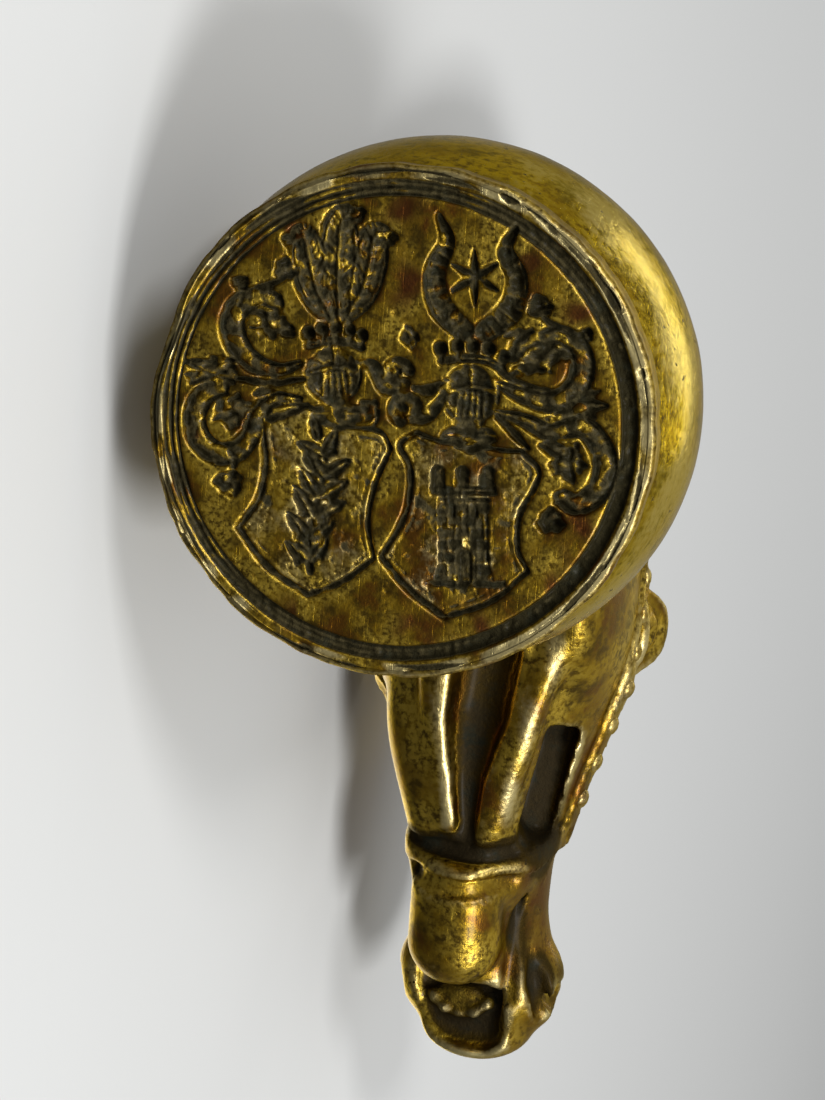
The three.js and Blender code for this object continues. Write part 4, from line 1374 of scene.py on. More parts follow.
def model_face(clay):
    """Bones and muscles: cheeks, jaw ridges, facial crests, brows and the hollows between them."""
    for side in (1, -1):
        clay.add(egg(place(side * 5.4, 0.31, 0.33), (3.0, 7.8, 8.0), (6, 0, side * 4)), 2.4)
        ridge = [place(side * 7.4, 0.46, 0.48), place(side * 5.8, 0.55, 0.45),
                 place(side * 4.4, 0.68, 0.42)]
        clay.add(limb(ridge, 1.2, 1.0, 0.5), 1.6)
        brow = [place(side * 5.0, 0.26, 0.8), place(side * 6.9, 0.35, 0.78), place(side * 7.0, 0.44, 0.72)]
        clay.add(limb(brow, 0.8, 1.25, 0.7), 2.0)
        clay.cut(egg(place(side * 6.9, 0.245, 0.74), (1.5, 3.0, 1.9), (10, 0, 0)), 1.4)
        clay.cut(egg(place(side * 6.6, 0.6, 0.66), (1.6, 6.5, 2.4), (-12, 0, side * 10)), 1.8)
        nasal = [place(side * 2.4, 0.38, 0.82), place(side * 2.0, 0.55, 0.71),
                 place(side * 1.9, 0.68, 0.61), place(side * 1.5, 0.84, 0.47)]
        clay.add(limb(nasal, 0.5, 0.9, 0.9, 0.6), 1.8)
    # The lower jaw is fuller on its left.
    clay.add(egg((4.1, -26.5, 33.4), (2.1, 7.5, 3.3), (0, 0, -5)), 1.8)
    # Its two ridges stand out below, with the dark channel of the throat between them.
    clay.add(limb([(3.6, -7.5, 35.2), (3.3, -14.0, 30.6), (2.8, -20.9, 30.0), (2.0, -29.6, 30.8)],
                  1.7, 1.4, 1.15, 0.9), 1.3)
    clay.add(limb([(-5.8, -10.0, 33.4), (-5.0, -15.1, 31.6), (-3.5, -19.8, 30.6), (-2.2, -24.6, 30.4),
                   (-0.9, -30.0, 30.9)], 1.5, 1.3, 1.15, 1.1, 0.8), 0.9)
    clay.cut(limb([(-0.5, -14.0, 28.8), (-0.2, -17.0, 29.3), (0.3, -21.0, 29.5), (0.9, -26.5, 29.7),
                   (0.9, -31.0, 30.4)], 1.2, 2.0, 1.8, 0.95, 0.5), 0.6)
    # In front of the cheek is a deep pocket on the right, with a flat floor and a sharp back edge.
    clay.cut(block((-4.4, -27.9, 32.2), (1.4, 4.6, 4.2), 0.6, (8, 12, 12)), 0.25)
    clay.cut(egg((7.6, -27.5, 38.0), (1.6, 5.0, 2.6), (0, 0, -8)), 0.8)


def model_eye(clay):
    """Eyeballs in almond lids, each with a drilled pupil, a brow fold and a tear corner."""
    for (x, y, z), side in both_sides(place(7.3, 0.405, 0.6)):
        clay.cut(egg((x + side * 0.9, y, z), (1.7, 3.0, 2.2)), 0.8)
        clay.add(egg((x, y, z), (2.35, 2.3, 1.75)), 0.3)
        clay.cut(egg((x + side * 2.35, y - 0.2, z - 0.15), (0.6, 0.62, 0.62)), 0.2)
        front, back = (x + side * 0.9, y - 3.1, z - 1.1), (x + side * 0.7, y + 2.7, z + 0.4)
        upper = [front, (x + side * 1.7, y - 1.4, z + 1.55), (x + side * 1.7, y + 0.9, z + 1.95), back]
        clay.add(limb(upper, 0.4, 0.8, 0.85, 0.5), 0.45)
        lower = [front, (x + side * 1.75, y - 1.0, z - 1.75), (x + side * 1.6, y + 1.3, z - 1.3), back]
        clay.add(limb(lower, 0.35, 0.62, 0.62, 0.4), 0.45)
        clay.add(limb([(x + side * 0.5, y - 2.4, z + 2.5), (x + side * 1.1, y, z + 3.2),
                       (x + side * 0.3, y + 2.8, z + 2.2)], 0.4, 0.6, 0.4), 0.5)
        clay.cut(limb([(x + side * 0.9, y - 2.2, z - 2.6), (x + side * 1.0, y + 0.4, z - 3.0),
                       (x + side * 0.6, y + 2.6, z - 2.0)], 0.2, 0.35, 0.2), 0.4)


def model_muzzle(clay):
    """The soft end of the head: upper lip, flared nostrils, chin, and the open mouth between them."""
    clay.add(egg(place(0.0, 0.878, 0.344), (5.1, 6.2, 4.9)), 1.4)
    clay.add(egg(place(0.1, 0.955, 0.3), (3.4, 1.5, 3.4)), 1.0)
    for side in (1, -1):
        clay.add(egg(place(side * 3.9, 0.885, 0.34), (2.0, 2.9, 3.0), (18, 0, side * -10)), 0.8)
    # The chin's ball, carried a little to the left, and the lower jaw behind it.
    clay.add(block((1.25, -36.9, 32.9), (3.2, 4.6, 4.3), 3.0), 0.5)
    clay.add(egg((0.8, -33.4, 34.0), (4.4, 3.4, 3.4)), 1.2)
    clay.cut(limb([(-1.5, -38.3, 28.7), (1.2, -38.8, 28.1), (3.9, -38.3, 28.7)], 0.2, 0.3, 0.2), 0.9)
    # The mouth: lips that part along both sides of the jaw, and meet in an open hollow with teeth in it.
    for side, width in ((1, 4.7), (-1, 2.75)):
        out = side * width
        lips = [(out, -34.6, 34.4), (out, -38.0, 33.6), (out * 0.97, -43.0, 33.2)]
        clay.cut(limb(lips, 0.3, 0.6, 0.8), 0.3)
    clay.cut(block((0.95, -44.9, 32.6), (3.2, 2.7, 2.4), 1.6, (-12, 0, 0)), 0.5)
    clay.cut(egg((0.9, -41.8, 34.6), (3.3, 4.4, 0.9)), 0.4)
    clay.add(egg((1.0, -44.0, 35.2), (2.0, 1.4, 0.9)), 0.6)
    for tooth, (high, wide) in enumerate(((0.8, 0.5), (1.1, 0.6), (0.7, 0.7), (1.0, 0.45), (0.6, 0.6))):
        turn = math.radians(-58 + tooth * 29)
        spot = (0.95 + 2.2 * math.sin(turn), -43.1 - 1.7 * math.cos(turn), 34.7)
        clay.add(egg(spot, (wide, 0.45, high), (0, 0, math.degrees(turn))), 0.3)
    # Between the lip's right edge and the nostril is a deep crease.
    clay.cut(limb([(-4.0, -39.6, 34.6), (-4.5, -42.2, 34.6), (-4.6, -44.4, 35.4)], 0.5, 0.95, 0.6), 0.3)
    for (x, y, z), side in both_sides(place(5.2, 0.9, 0.33)):
        clay.cut(egg((x + side * 0.35, y, z), (1.2, 1.15, 1.7), (28, side * 20, 0)), 0.4)
        clay.cut(limb([(x + side * 0.3, y + 0.8, z + 1.2), (x, y + 2.0, z + 1.9),
                       (x - side * 0.5, y + 3.6, z + 2.2)], 0.5, 0.38, 0.15), 0.4)
        for fold in range(3):
            back = along_head(0.73 - 0.035 * fold)
            clay.cut(limb([(side * 5.2, back, up_head(0.36)), (side * 4.6, back + 0.8, up_head(0.24))],
                          0.24, 0.12), 0.3)


def model_ears(clay):
    """Upright pointed ears, hollow to the front."""
    for side in (1, -1):
        clay.add(limb([(side * 3.5, 1.1, 51.0), (side * 4.3, 1.2, 54.6), (side * 5.3, 1.0, 57.2),
                       (side * 5.8, 0.7, 59.0)], 2.0, 1.9, 1.3, 0.3), 0.8)
        clay.cut(limb([(side * 4.7, -1.5, 53.2), (side * 5.0, -0.9, 55.4), (side * 5.7, -0.1, 57.9)],
                      0.9, 1.1, 0.3), 0.3)
        clay.add(limb([(side * 3.2, -0.9, 52.0), (side * 3.6, -0.6, 55.0), (side * 5.2, 0.0, 58.2)],
                      0.5, 0.45, 0.25), 0.3)


def model_forelock(clay):
    """Hair between the ears that falls over the brow."""
    locks = ((-2.0, 9.0), (-0.9, 13.0), (0.3, 15.5), (1.4, 12.5), (2.2, 8.5))
    for lock, (aside, reach) in enumerate(locks):
        sway = 0.7 * (-1) ** lock
        points = []
        for share in (0.0, 0.3, 0.65, 1.0):
            y = 1.5 - reach * share
            top = at_shares(HEAD_SHARES, np.array([(POLL_BACK - y) / HEAD_LENGTH]))[0][0]
            points.append((aside * (1 - 0.5 * share) + sway * math.sin(share * 5), y, up_head(top) + 0.25))
        clay.add(limb(points, 0.6, 0.85, 0.7, 0.2), 0.25)


def model_mane(clay):
    """Locks that spring from the crest of the neck and fall back along both its sides."""
    locks = 10
    crest = []
    for share in np.linspace(0.12, 1.0, 12):
        middle, depth, _, aside = at_shares(NECK_SHARES, np.array([share]))
        crest.append(((aside[0] - 1) * SIDE_SET, (middle[0] + depth[0]) * NECK_DEPTH - 0.7,
                      NECK_LOW + share * NECK_HEIGHT))
    clay.add(limb(crest, 1.2, 1.8, 1.9, 1.8, 1.4), 1.0)
    line = even_line(crest, 0.5)
    for lock in range(locks):
        start = line[int((0.98 - 0.86 * lock / (locks - 1)) * (len(line) - 1))]
        size = 1 - 0.35 * abs(lock - 4) / 5
        for side in (1, -1):
            for strand in range(3):
                swing = 0.5 + 0.55 * strand
                fall = [
                    (side * 0.3, 0.8, 0.9 - 0.75 * strand),
                    (side * (1.6 + 0.35 * strand), 1.2 * size - 0.4 * strand, -1.0),
                    (side * (3.3 + swing), -1.0 - 1.3 * strand, -4.2 * size),
                    (side * (3.9 + swing), -3.4 - 1.5 * strand, -7.2 * size),
                ]
                clay.add(limb(start + fall, 0.7, 0.95 * size, 0.75 * size, 0.18), 0.22)


def line_gap(y, z, points):
    """The distance from a bent line on the head's side view."""
    best = FAR
    for (y0, z0), (y1, z1) in zip(points, points[1:]):
        dy, dz = y1 - y0, z1 - z0
        along = np.clip(((y - y0) * dy + (z - z0) * dz) / (dy * dy + dz * dz), 0, 1)
        best = np.minimum(best, np.hypot(y - y0 - along * dy, z - z0 - along * dz))
    return best


# The noseband's share along the head, and the straps' lines as shares along it and up it.
NOSEBAND = 0.675
CHEEK_LINE = ((0.085, 0.93), (0.2, 0.74), (0.3, 0.56), (0.42, 0.44), (0.55, 0.4), (0.675, 0.37))
THROAT_LINE = ((0.06, 0.9), (0.13, 0.55), (0.22, 0.2), (0.265, -0.06))


def strap_line(shares, step):
    """A strap's line on the head's side view, as points that lie one step apart."""
    return even_line([(along_head(along), up_head(rise)) for along, rise in shares], step)


def model_bridle(clay, settings):
    """A noseband, cheek straps, a brow band and a throat strap, all lying on the skin."""
    x, y, z = clay.open_grid()
    body = clay.field.copy()
    half = settings.strap_width / MM / 2
    thickness = settings.strap_thickness / MM
    nose = y - along_head(NOSEBAND) - 0.1 * (z - up_head(0.3))
    below = 1 - ease((z - up_head(0.06)) / 3.5)
    groove = np.maximum(np.abs(np.abs(nose) - 0.95) - 0.5, -0.35 - body)
    clay.field = np.maximum(clay.field, -np.maximum(groove, (0.5 - below) * 4))
    narrow = half * (0.8 - 0.58 * below)
    sway = 0.1 * np.sin(x * 1.7)
    proud = thickness * (0.75 - 0.35 * below) * (1 - 0.5 * ease(x / 4))
    clay.join(np.maximum(body - proud, np.abs(nose + sway * below) - narrow), 0.25)
    cheek = line_gap(y, z, strap_line(CHEEK_LINE, 1.0))
    throat = line_gap(y, z, strap_line(THROAT_LINE, 1.0))
    brow = y - along_head(0.105) - 0.1 * (z - up_head(0.9))
    # Each strap: how proud it stands, its line and half width, and where it ends.
    for proud, gap, wide, end in ((0.9, cheek, 0.72, 2.5 - np.abs(x)),
                                  (0.8, throat, 0.55, -z + NECK_LOW + 4),
                                  (0.9, np.abs(brow), 0.7, up_head(0.78) - z)):
        clay.join(np.maximum(np.maximum(body - thickness * proud, gap - half * wide), end), 0.12)
    # Rosettes on the brow band, and rings on the noseband.
    for side in (1, -1):
        clay.add(egg(place(side * 6.4, 0.105, 0.86), (1.1, 1.5, 1.5)), 0.15)
        clay.cut(egg(place(side * 7.45, 0.105, 0.86), (0.4, 0.95, 0.95)), 0.12)
        clay.add(egg(place(side * 7.0, 0.105, 0.86), (0.7, 0.55, 0.55)), 0.12)
        clay.add(egg(place(side * 4.6, NOSEBAND, 0.37), (0.9, 1.15, 1.15)), 0.15)
        clay.cut(egg(place(side * 5.5, NOSEBAND, 0.37), (0.4, 0.5, 0.5)), 0.12)


def model_neck_folds(clay):
    """A shallow furrow down each side of the neck, where the throat vein runs."""
    for side in (1, -1):
        clay.cut(egg((side * 9.3 + 0.9, -3.2, 32.5), (2.6, 1.7, 7.5), (6, 0, 0)), 2.5)


def stud_places(clay, spacing):
    """Where studs sit along the cheek straps, with the way that each faces."""
    cheek = strap_line(CHEEK_LINE, spacing)
    widths = np.arange(0.0, HEAD_WIDTH, clay.step / 2)
    spots, facings = [], []
    for side in (1, -1):
        for y, z in cheek[1:-1]:
            ray = np.column_stack([side * widths, np.full(len(widths), y), np.full(len(widths), z)])
            solid = np.nonzero(clay.sample(clay.field, ray) < 0)[0]
            spot = ray[solid[-1]]
            steps = np.eye(3) * clay.step
            facing = np.concatenate([
                np.diff(clay.sample(clay.field, np.array([spot - step, spot + step]))) for step in steps])
            spots.append(spot)
            facings.append(facing / np.linalg.norm(facing))
    return np.array(spots), np.array(facings)


def stud_tree():
    """Round-headed studs set on points, each facing along the point's own attribute."""
    tree = bpy.data.node_groups.new("Set studs", "GeometryNodeTree")
    group_input(tree, "Places", "NodeSocketGeometry")
    group_input(tree, "Stud Radius", "NodeSocketFloat", 0.0006)
    group_input(tree, "Stud Height", "NodeSocketFloat", 0.0004)
    group_input(tree, "Material", "NodeSocketMaterial")
    tree.interface.new_socket(name="Studs", in_out="OUTPUT", socket_type="NodeSocketGeometry")
    given = add(tree, "NodeGroupInput").outputs
    ball = add(tree, "GeometryNodeMeshUVSphere", {"Segments": 14, "Rings": 8, "Radius": 1.0})
    sockets = {"X": given["Stud Radius"], "Y": given["Stud Radius"], "Z": given["Stud Height"]}
    size = add(tree, "ShaderNodeCombineXYZ", sockets)
    stud = add(tree, "GeometryNodeTransform", {"Geometry": ball, "Scale": size})
    facing = add(tree, "GeometryNodeInputNamedAttribute", {"Name": "facing"}, data_type="FLOAT_VECTOR")
    turn = add(tree, "FunctionNodeAlignRotationToVector", {"Vector": facing}, axis="Z")
    points = add(tree, "GeometryNodeMeshToPoints", {"Mesh": given["Places"]})
    sockets = {"Points": points, "Instance": stud, "Rotation": turn}
    studs = add(tree, "GeometryNodeInstanceOnPoints", sockets)
    studs = add(tree, "GeometryNodeRealizeInstances", {"Geometry": studs})
    studs = add(tree, "GeometryNodeSetShadeSmooth", {"Geometry": studs})
    studs = add(tree, "GeometryNodeSetMaterial", {"Geometry": studs, "Material": given["Material"]})
    add(tree, "NodeGroupOutput", {"Studs": studs})
    return tree


# The finish of the studs is the same all over.
STUD_FINISH = {"grime": 0.05, "wear": 0.35, "stain": 0.2}

# Patches on the head, each a centre, a reach each way and how much. First, where the head is made darker.
DARKER_PATCHES = (
    ((0.9, -44.6, 34.8), (3.1, 2.6, 2.0), 0.75),
    ((-4.2, -27.9, 35.4), (1.4, 4.6, 2.0), 0.8),
    ((0.2, -17.0, 32.0), (2.2, 7.5, 1.6), 0.2),
    ((0.9, -27.0, 31.0), (1.0, 4.0, 1.2), 0.35),
    ((0.5, -31.6, 31.5), (5.0, 1.1, 1.6), 0.45),
    ((3.0, -34.6, 32.0), (1.8, 0.6, 1.6), 0.4),
    ((-2.8, -40.5, 34.0), (0.8, 4.8, 1.6), 0.6),
    ((-4.5, -42.2, 35.2), (0.8, 2.2, 1.2), 0.75),
    ((-3.9, -37.2, 35.5), (1.7, 4.8, 3.5), 0.32),
    ((0.5, -31.8, 32.0), (8.0, 1.3, 3.5), 0.55),
    ((5.0, -34.6, 32.5), (3.0, 0.8, 2.5), 0.3),
    ((-5.5, -33.2, 34.0), (2.5, 2.3, 3.0), 0.55),
    ((7.4, -19.0, 34.5), (1.4, 10.0, 3.5), 0.4),
    ((-7.0, -38.0, 38.0), (1.8, 6.0, 4.0), 0.4),
    ((-6.4, -43.0, 36.5), (1.5, 2.6, 2.5), 0.5),
    ((5.0, -41.8, 36.0), (1.2, 2.6, 2.5), 0.5),
)

# Where the casting skin stayed brown.
BROWNED = (
    ((-4.4, -36.5, 35.0), (1.8, 5.5, 4.0), 0.7),
    ((-2.5, -33.0, 32.5), (2.4, 1.8, 2.0), 0.6),
    ((-6.5, -25.0, 38.0), (2.0, 9.0, 4.0), 0.4),
    ((-2.6, -15.0, 32.0), (1.2, 5.0, 2.0), 0.5),
    ((0.6, -20.0, 31.5), (2.4, 10.0, 2.0), 0.8),
)

# Where hands and wax rags rubbed the head pale, made wider and paler as painted highlights on its jaw
# ridges, chin and right cheek.
RUBBED_AND_HIGHLIGHTED = (
    ((2.6, -20.5, 31.5), (0.6, 5.0, 2.5), 0.5),
    ((2.3, -27.5, 31.5), (0.6, 4.5, 2.5), 0.5),
    ((-4.3, -17.0, 31.5), (1.0, 3.4, 2.5), 0.65),
    ((-2.7, -22.3, 31.5), (0.9, 3.2, 2.5), 0.65),
    ((-1.9, -27.2, 31.5), (0.8, 3.0, 2.5), 0.6),
    ((1.0, -39.5, 31.5), (2.2, 2.6, 2.0), 0.35),
    ((-9.0, -22.0, 38.0), (1.6, 12.0, 5.0), 0.3),
)


def patches(points, table, edge):
    """How much a table's patches add at each point, fading out at this many times their reach."""
    total = np.zeros(len(points))
    for centre, reach, amount in table:
        total += amount * ease(edge - np.linalg.norm((points - centre) / reach, axis=1))
    return total


def uneven(points):
    """The head as it was cast: its right side drawn in a little, and its left cheek fuller."""
    x, y, z = points.T
    under = 1 - ease((z - 42) / 4)
    slim = ease((-6 - y) / 8) * ease((y + 47) / 9) * under * (x < 0)
    full = ease((-10 - y) / 5) * ease((y + 31) / 8) * under * (x > 0)
    x = x * (1 - 0.08 * slim + 0.16 * full)
    x = soft_least(x, HEAD_HIGH[0] - SIDE_SET, 0.8)
    return np.column_stack([x, y, z])


def build_head(settings, look):
    """The cast handle: a bridled horse's head on its neck, with studs along the cheek straps."""
    step = settings.grain / MM
    shift = np.array([SIDE_SET, 0, 0])
    clay = Clay(HEAD_LOW - shift - 1.2, HEAD_HIGH - shift + 1.2, step)
    model_skull(clay)
    model_neck(clay)
    model_face(clay)
    model_neck_folds(clay)
    model_eye(clay)
    model_muzzle(clay)
    model_bridle(clay, settings)
    model_ears(clay)
    model_forelock(clay)
    model_mane(clay)
    spots, facings = stud_places(clay, settings.stud_spacing / MM)
    x, y, z = clay.open_grid()
    clay.field = np.maximum(clay.field, (NECK_LOW - z).astype(np.float32))
    bore = np.maximum(np.hypot(x + SIDE_SET, y) - STUD_BORE, z - STUD_HIGH[2] - SEAT)
    dowel = np.maximum(np.hypot(x + SIDE_SET, y - DOWEL_PLACE) - DOWEL_BORE, z - DOWEL_HIGH[2] - SEAT)
    clay.field = np.maximum(clay.field, -np.minimum(bore, dowel)).astype(np.float32)

    points, faces = clay.skin()
    solidity = np.clip(0.5 - clay.field / clay.step, 0, 1)
    near = clay.sample(box_blur(solidity, max(1, round(0.7 / step))), points)
    far = clay.sample(box_blur(solidity, max(1, round(2.2 / step))), points)
    grime = np.clip((near - 0.53) * 4.0, -0.2, 0.8) + np.clip((far - 0.54) * 3.0, -0.15, 0.8) + 0.05
    wear = np.clip((0.45 - near) * 3.2, 0, 0.62)
    stain = np.clip(0.08 + 0.2 * swell(points, 9.0, 41), 0, 0.4)
    grime += patches(points, DARKER_PATCHES, 1.6)
    # Paler patches: rubbed metal, with painted highlights on the ridges, chin and right cheek.
    wear += patches(points, RUBBED_AND_HIGHLIGHTED, 1.4)
    stain += patches(points, BROWNED, 1.5)
    points = np.clip(uneven(points) + shift, HEAD_LOW, HEAD_HIGH)
    material = cast_brass(look)
    piece = mesh_piece("cast_horse_head", points, faces.tolist(), material,
                       grime=grime, wear=wear, stain=stain)
    seat(piece, ["horse_head"])

    source = bpy.data.meshes.new("stud_places")
    source.from_pydata(((uneven(spots) + shift) * MM).tolist(), [], [])
    facing = source.attributes.new("facing", "FLOAT_VECTOR", "POINT")
    facing.data.foreach_set("vector", facings.astype(np.float32).ravel())
    values = {"Stud Radius": settings.stud_radius, "Stud Height": settings.stud_radius * 0.6,
              "Material": material}
    studs = grown("bridle_studs", source, stud_tree(), values)
    for label, amount in STUD_FINISH.items():
        give_attribute(studs.data, label, np.full(len(studs.data.vertices), amount))
    seat(studs, [])


def finish_iron(look):
    """The hidden stud and dowels keep their own shapes and get their iron."""
    material = filed_iron(look)
    for name in ("central_stud", "die_dowel", "neck_dowel"):
        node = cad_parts[name]
        node.data.materials.clear()
        node.data.materials.append(material)


# The stage.

def sheet_material(name, colour):
    # Matt paper or painted board: it shows only from its own side, so that it never hides the seal.
    material, tree, place = new_material(name)
    sockets = {"Vector": place, "Scale": per_mm(FIBRE_SIZE), "Detail": 2.0, "Roughness": 0.55}
    fibres = add(tree, NOISE, sockets)
    bump = add(tree, "ShaderNodeBump", {"Height": fibres, "Distance": 0.03 * MM, "Strength": 0.4})
    board = add(tree, "ShaderNodeBsdfDiffuse", {"Color": colour, "Normal": bump})
    clear = add(tree, "ShaderNodeBsdfTransparent")
    behind = add(tree, "ShaderNodeNewGeometry").outputs["Backfacing"]
    mixed = add(tree, "ShaderNodeMixShader", {0: behind, 1: board, 2: clear})
    add(tree, "ShaderNodeOutputMaterial", {"Surface": mixed})
    return material


def stage_sheet(name, corners, colour):
    """A wide flat sheet that takes shadows but gives none, and shows from one side only."""
    mesh = bpy.data.meshes.new(name)
    mesh.from_pydata([Vector(corner) * MM for corner in corners], [], [(0, 1, 2, 3)])
    mesh.materials.append(sheet_material(name, colour))
    sheet = link_piece(name, mesh)
    sheet.visible_shadow = False
    sheet.visible_diffuse = False
    sheet.visible_glossy = False


def lamp(name, spot, wide, high, watts):
    """A soft rectangular lamp at a spot in millimetres, aimed at the seal."""
    data = bpy.data.lights.new(name, "AREA")
    data.shape = "RECTANGLE"
    data.size = wide * MM
    data.size_y = high * MM
    data.energy = watts
    made = bpy.data.objects.new(name, data)
    made.visible_camera = False
    bpy.context.scene.collection.objects.link(made)
    turned = (MIDDLE - Vector(spot)).to_track_quat("-Z", "Y").to_matrix()
    made.matrix_world = Matrix.Translation(Vector(spot) * MM) @ turned.to_4x4()


def light_world(settings):
    """A pale room: brighter to one side, so that polished metal has something to show."""
    world = bpy.data.worlds.new("Pale room")
    bpy.context.scene.world = world
    world.use_nodes = True
    tree = world.node_tree
    tree.nodes.clear()
    way = add(tree, "ShaderNodeTexCoord").outputs["Generated"]
    toward = add(tree, "ShaderNodeVectorMath", {0: way, 1: WINDOW_SIDE}, operation="DOT_PRODUCT")
    sockets = {0: toward, 1: -0.8, 2: 0.95, 3: settings.room_dark, 4: settings.room_bright}
    bright = add(tree, RANGE, sockets, **SOFT)
    seen = add(tree, "ShaderNodeLightPath").outputs["Is Camera Ray"]
    strength = add(tree, MIX, {0: seen, 2: bright, 3: settings.background})
    sky = add(tree, "ShaderNodeBackground", {"Color": (1.0, 1.0, 1.0, 1.0), "Strength": strength})
    add(tree, "ShaderNodeOutputWorld", {"Surface": sky})


# The middle of the seal in millimetres, and the way to the brighter side of the room.
MIDDLE = Vector((0.0, -12.0, 28.0))
WINDOW_SIDE = (-0.9, 0.0, 0.25)

# The camera stands below the seal and looks up at its face, as the photograph does. Millimetres.
EYE = Vector((-21.428, 14.801, -106.873))
AIM = Vector((-1.291, -6.19, 0.0))
UPWARD = Vector((0.1089, 0.9791, 0.17179))
LENS = 71.9


def place_camera():
    """The photograph's own view, on a frame of 825 by 1100."""
    data = bpy.data.cameras.new("camera")
    data.lens = LENS
    data.sensor_width = 36.0
    data.clip_start = 5 * MM
    data.clip_end = 20.0
    camera = bpy.data.objects.new("camera", data)
    bpy.context.scene.collection.objects.link(camera)
    back = (EYE - AIM).normalized()
    right = UPWARD.cross(back).normalized()
    up = back.cross(right)
    camera.matrix_world = Matrix.Translation(EYE * MM) @ Matrix((right, up, back)).transposed().to_4x4()
    bpy.context.scene.camera = camera


# In the photograph the seal lies on its left side: this sheet touches its foot and its head there.
PAPER_TOUCH = FOOT_HIGH[0] + 0.05
PAPER_TOUCH_HEIGHT = 12.0
PAPER_SLOPE = -0.195
SHEET_REACH = 1500.0
FLOOR_HEIGHT = -0.03


def build_stage(settings):
    """Floor, the paper that the seal lies on, soft lamps, pale room and camera."""
    reach = SHEET_REACH
    floor = [(-reach, -reach), (reach, -reach), (reach, reach), (-reach, reach)]
    stage_sheet("floor", [(x, y, FLOOR_HEIGHT) for x, y in floor], settings.floor)
    leaning = [(PAPER_TOUCH + PAPER_SLOPE * (z - PAPER_TOUCH_HEIGHT), y, z) for z, y in floor]
    stage_sheet("paper", leaning, settings.paper)
    lamp("window", (-200.0, -120.0, -180.0), 80.0, 80.0, settings.key)
    lamp("far_window", (-190.0, 170.0, -200.0), 80.0, 80.0, settings.fill)
    lamp("high_window", (-150.0, 45.0, 270.0), 210.0, 20.0, settings.high)
    lamp("top_window", (150.0, -170.0, 260.0), 220.0, 220.0, settings.top)
    light_world(settings)
    place_camera()
    bpy.context.scene.view_settings.view_transform = "Standard"


# What a user can change, and the panel that shows it.

def number(name, description, default, **more):
    return bpy.props.FloatProperty(name=name, description=description, default=default, **more)


def length(name, description, default):
    """A length in metres, shown in the scene's unit."""
    return number(name, description, default, min=0.0, unit="LENGTH", subtype="DISTANCE", precision=5)


def tint(name, description, colour):
    """A colour, kept linear, with its alpha."""
    return bpy.props.FloatVectorProperty(name=name, description=description, default=linear(colour), size=4,
                                         min=0.0, max=1.0, subtype="COLOR")


class SealDieSettings(bpy.types.PropertyGroup):
    radius: length("Radius", "Outer radius of the die", DIE_HIGH[0] * MM)
    chamfer: length("Chamfer", "Width of the chamfer round the sealing face", 0.41 * MM)
    relief: number("Relief", "Share of the design's full depth", 1.0)
    tilt_degrees: number("Tilt", "Turn of the design on the face, in degrees", 5.3)
    seed: bpy.props.IntProperty(name="Wear Seed", description="Where scratches and pits fall", default=4)


class SealFootSettings(bpy.types.PropertyGroup):
    base: length("Base Radius", "Radius where the foot meets the die", (DIE_HIGH[0] - 0.5) * MM)
    widest: length("Widest Radius", "Radius of the foot's widest ring", FOOT_HIGH[0] * MM)
    widest_height: length("Widest Height", "Height of that ring above the foot's base", 9.5 * MM)
    top: length("Top Radius", "Radius where the foot meets the collar", 8.4 * MM)


class SealCollarSettings(bpy.types.PropertyGroup):
    radius: length("Radius", "Radius over the bead", COLLAR_HIGH[0] * MM)
    waist: length("Waist Radius", "Radius beside the bead", (COLLAR_HIGH[0] - 1.0) * MM)


class SealHeadSettings(bpy.types.PropertyGroup):
    grain: length("Grain", "Spacing of the points that the head is modelled on", 0.3 * MM)
    strap_width: length("Strap Width", "Width of the bridle's straps", 2.3 * MM)
    strap_thickness: length("Strap Thickness", "How far the straps stand proud", 0.5 * MM)
    stud_spacing: length("Stud Spacing", "Distance between studs along a cheek strap", 2.7 * MM)
    stud_radius: length("Stud Radius", "Radius of a stud's head", 0.72 * MM)


class SealLookSettings(bpy.types.PropertyGroup):
    metal: tint("Metal", "Brass as it shows on the flat", "#9a7a16")
    deep: tint("Deep", "Darker brass in its mottling", "#5c470c")
    bright: tint("Bright", "Brass where it is cleanest", "#c4a53a")
    worn: tint("Worn", "Pale brass on rubbed edges", "#d8c68a")
    edge: tint("Edge", "Brass seen along its surface", "#e6d48a")
    tone: tint("Tone", "Darker clouds of tone", "#6a4509")
    stain: tint("Stain", "Red-brown patches", "#5e3410")
    deposit: tint("Deposit", "Dull dirt in the die's cuts", "#3e3724")
    film: tint("Film", "Dark film on the foot and the head", "#36290c")
    tarnish: tint("Tarnish", "Dark deposit in deep cuts", "#18150d")
    soot: tint("Soot", "Dark brown in the head's hollows", "#30281a")
    verdigris: tint("Verdigris", "Bluish deposit in deep cuts", "#24261f")
    iron: tint("Iron", "Bare filed iron", "#77777a")
    rust: tint("Rust", "Rust on the iron", "#6b3f25")


class SealStageSettings(bpy.types.PropertyGroup):
    floor: tint("Floor", "The table under the standing seal", "#f2f2f0")
    paper: tint("Paper", "The paper that the seal leans on", "#d3d4d3")
    background: number("Background", "Brightness of the room as seen", 0.6)
    room_dark: number("Room Dark", "Strength away from the window", 0.12)
    room_bright: number("Room Bright", "Strength towards the window", 0.5)
    key: number("Key", "Power of the window lamp", 0.57, unit="POWER")
    fill: number("Fill", "Power of the far window lamp", 0.48, unit="POWER")
    high: number("High", "Power of the lamp behind", 0.062, unit="POWER")
    top: number("Top", "Power of the lamp above", 0.4, unit="POWER")


class SEAL_OT_die(bpy.types.Operator):
    """Builds the engraved die"""
    bl_idname = "seal.die"
    bl_label = "Engraved Die"

    def execute(self, context):
        build_die(context.scene.seal_die, context.scene.seal_look)
        return {"FINISHED"}


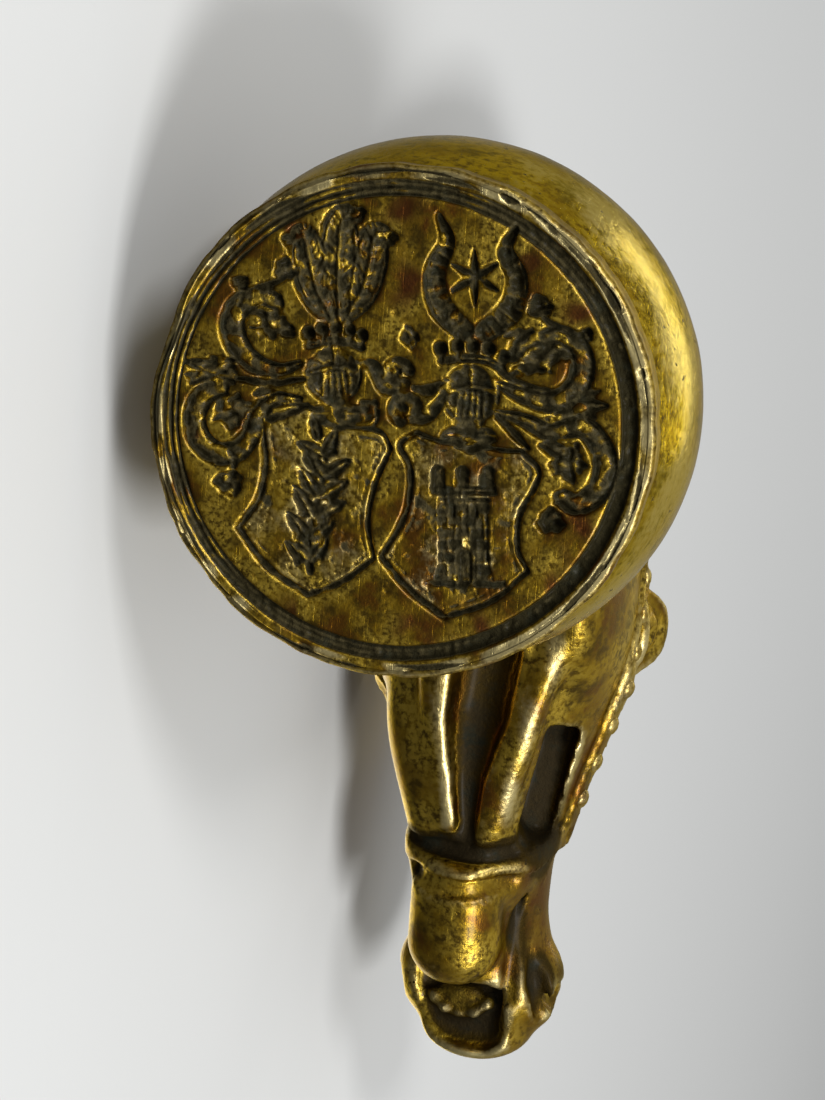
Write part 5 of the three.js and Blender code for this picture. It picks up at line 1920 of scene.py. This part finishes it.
class SEAL_OT_foot(bpy.types.Operator):
    """Builds the turned foot"""
    bl_idname = "seal.foot"
    bl_label = "Turned Foot"

    def execute(self, context):
        build_foot(context.scene.seal_foot, context.scene.seal_look)
        return {"FINISHED"}


class SEAL_OT_collar(bpy.types.Operator):
    """Builds the turned collar"""
    bl_idname = "seal.collar"
    bl_label = "Turned Collar"

    def execute(self, context):
        build_collar(context.scene.seal_collar, context.scene.seal_look)
        return {"FINISHED"}


class SEAL_OT_head(bpy.types.Operator):
    """Models the horse's head and sets the studs on its bridle"""
    bl_idname = "seal.head"
    bl_label = "Horse's Head"

    def execute(self, context):
        build_head(context.scene.seal_head, context.scene.seal_look)
        return {"FINISHED"}


class SEAL_OT_iron(bpy.types.Operator):
    """Finishes the iron stud and dowels inside the seal"""
    bl_idname = "seal.iron"
    bl_label = "Iron Stud and Dowels"

    def execute(self, context):
        finish_iron(context.scene.seal_look)
        return {"FINISHED"}


class SEAL_OT_stage(bpy.types.Operator):
    """Sets up floor, paper, lamps, room and camera"""
    bl_idname = "seal.stage"
    bl_label = "Stage"

    def execute(self, context):
        build_stage(context.scene.seal_stage)
        return {"FINISHED"}


SETTINGS = {
    "seal_die": SealDieSettings,
    "seal_foot": SealFootSettings,
    "seal_collar": SealCollarSettings,
    "seal_head": SealHeadSettings,
    "seal_look": SealLookSettings,
    "seal_stage": SealStageSettings,
}
OPERATORS = (SEAL_OT_die, SEAL_OT_foot, SEAL_OT_collar, SEAL_OT_head, SEAL_OT_iron, SEAL_OT_stage)


class SEAL_PT_panel(bpy.types.Panel):
    """Lists the seal's pieces, their sizes and colours"""
    bl_label = "Brass Desk Seal"
    bl_idname = "SEAL_PT_panel"
    bl_space_type = "VIEW_3D"
    bl_region_type = "UI"
    bl_category = "Seal"

    def draw(self, context):
        for operator in OPERATORS:
            self.layout.operator(operator.bl_idname)
        for name, group in SETTINGS.items():
            settings = getattr(context.scene, name)
            column = self.layout.column(align=True)
            for prop in group.__annotations__:
                column.prop(settings, prop)


def register():
    for group in SETTINGS.values():
        bpy.utils.register_class(group)
    for operator in OPERATORS:
        bpy.utils.register_class(operator)
    bpy.utils.register_class(SEAL_PT_panel)
    for name, group in SETTINGS.items():
        setattr(bpy.types.Scene, name, bpy.props.PointerProperty(type=group))


def unregister():
    for name in SETTINGS:
        delattr(bpy.types.Scene, name)
    for kind in (SEAL_PT_panel, *OPERATORS, *SETTINGS.values()):
        bpy.utils.unregister_class(kind)


def main():
    register()
    bpy.ops.seal.stage()
    bpy.ops.seal.die()
    bpy.ops.seal.foot()
    bpy.ops.seal.collar()
    bpy.ops.seal.head()
    bpy.ops.seal.iron()


if __name__ == "__main__":
    main()
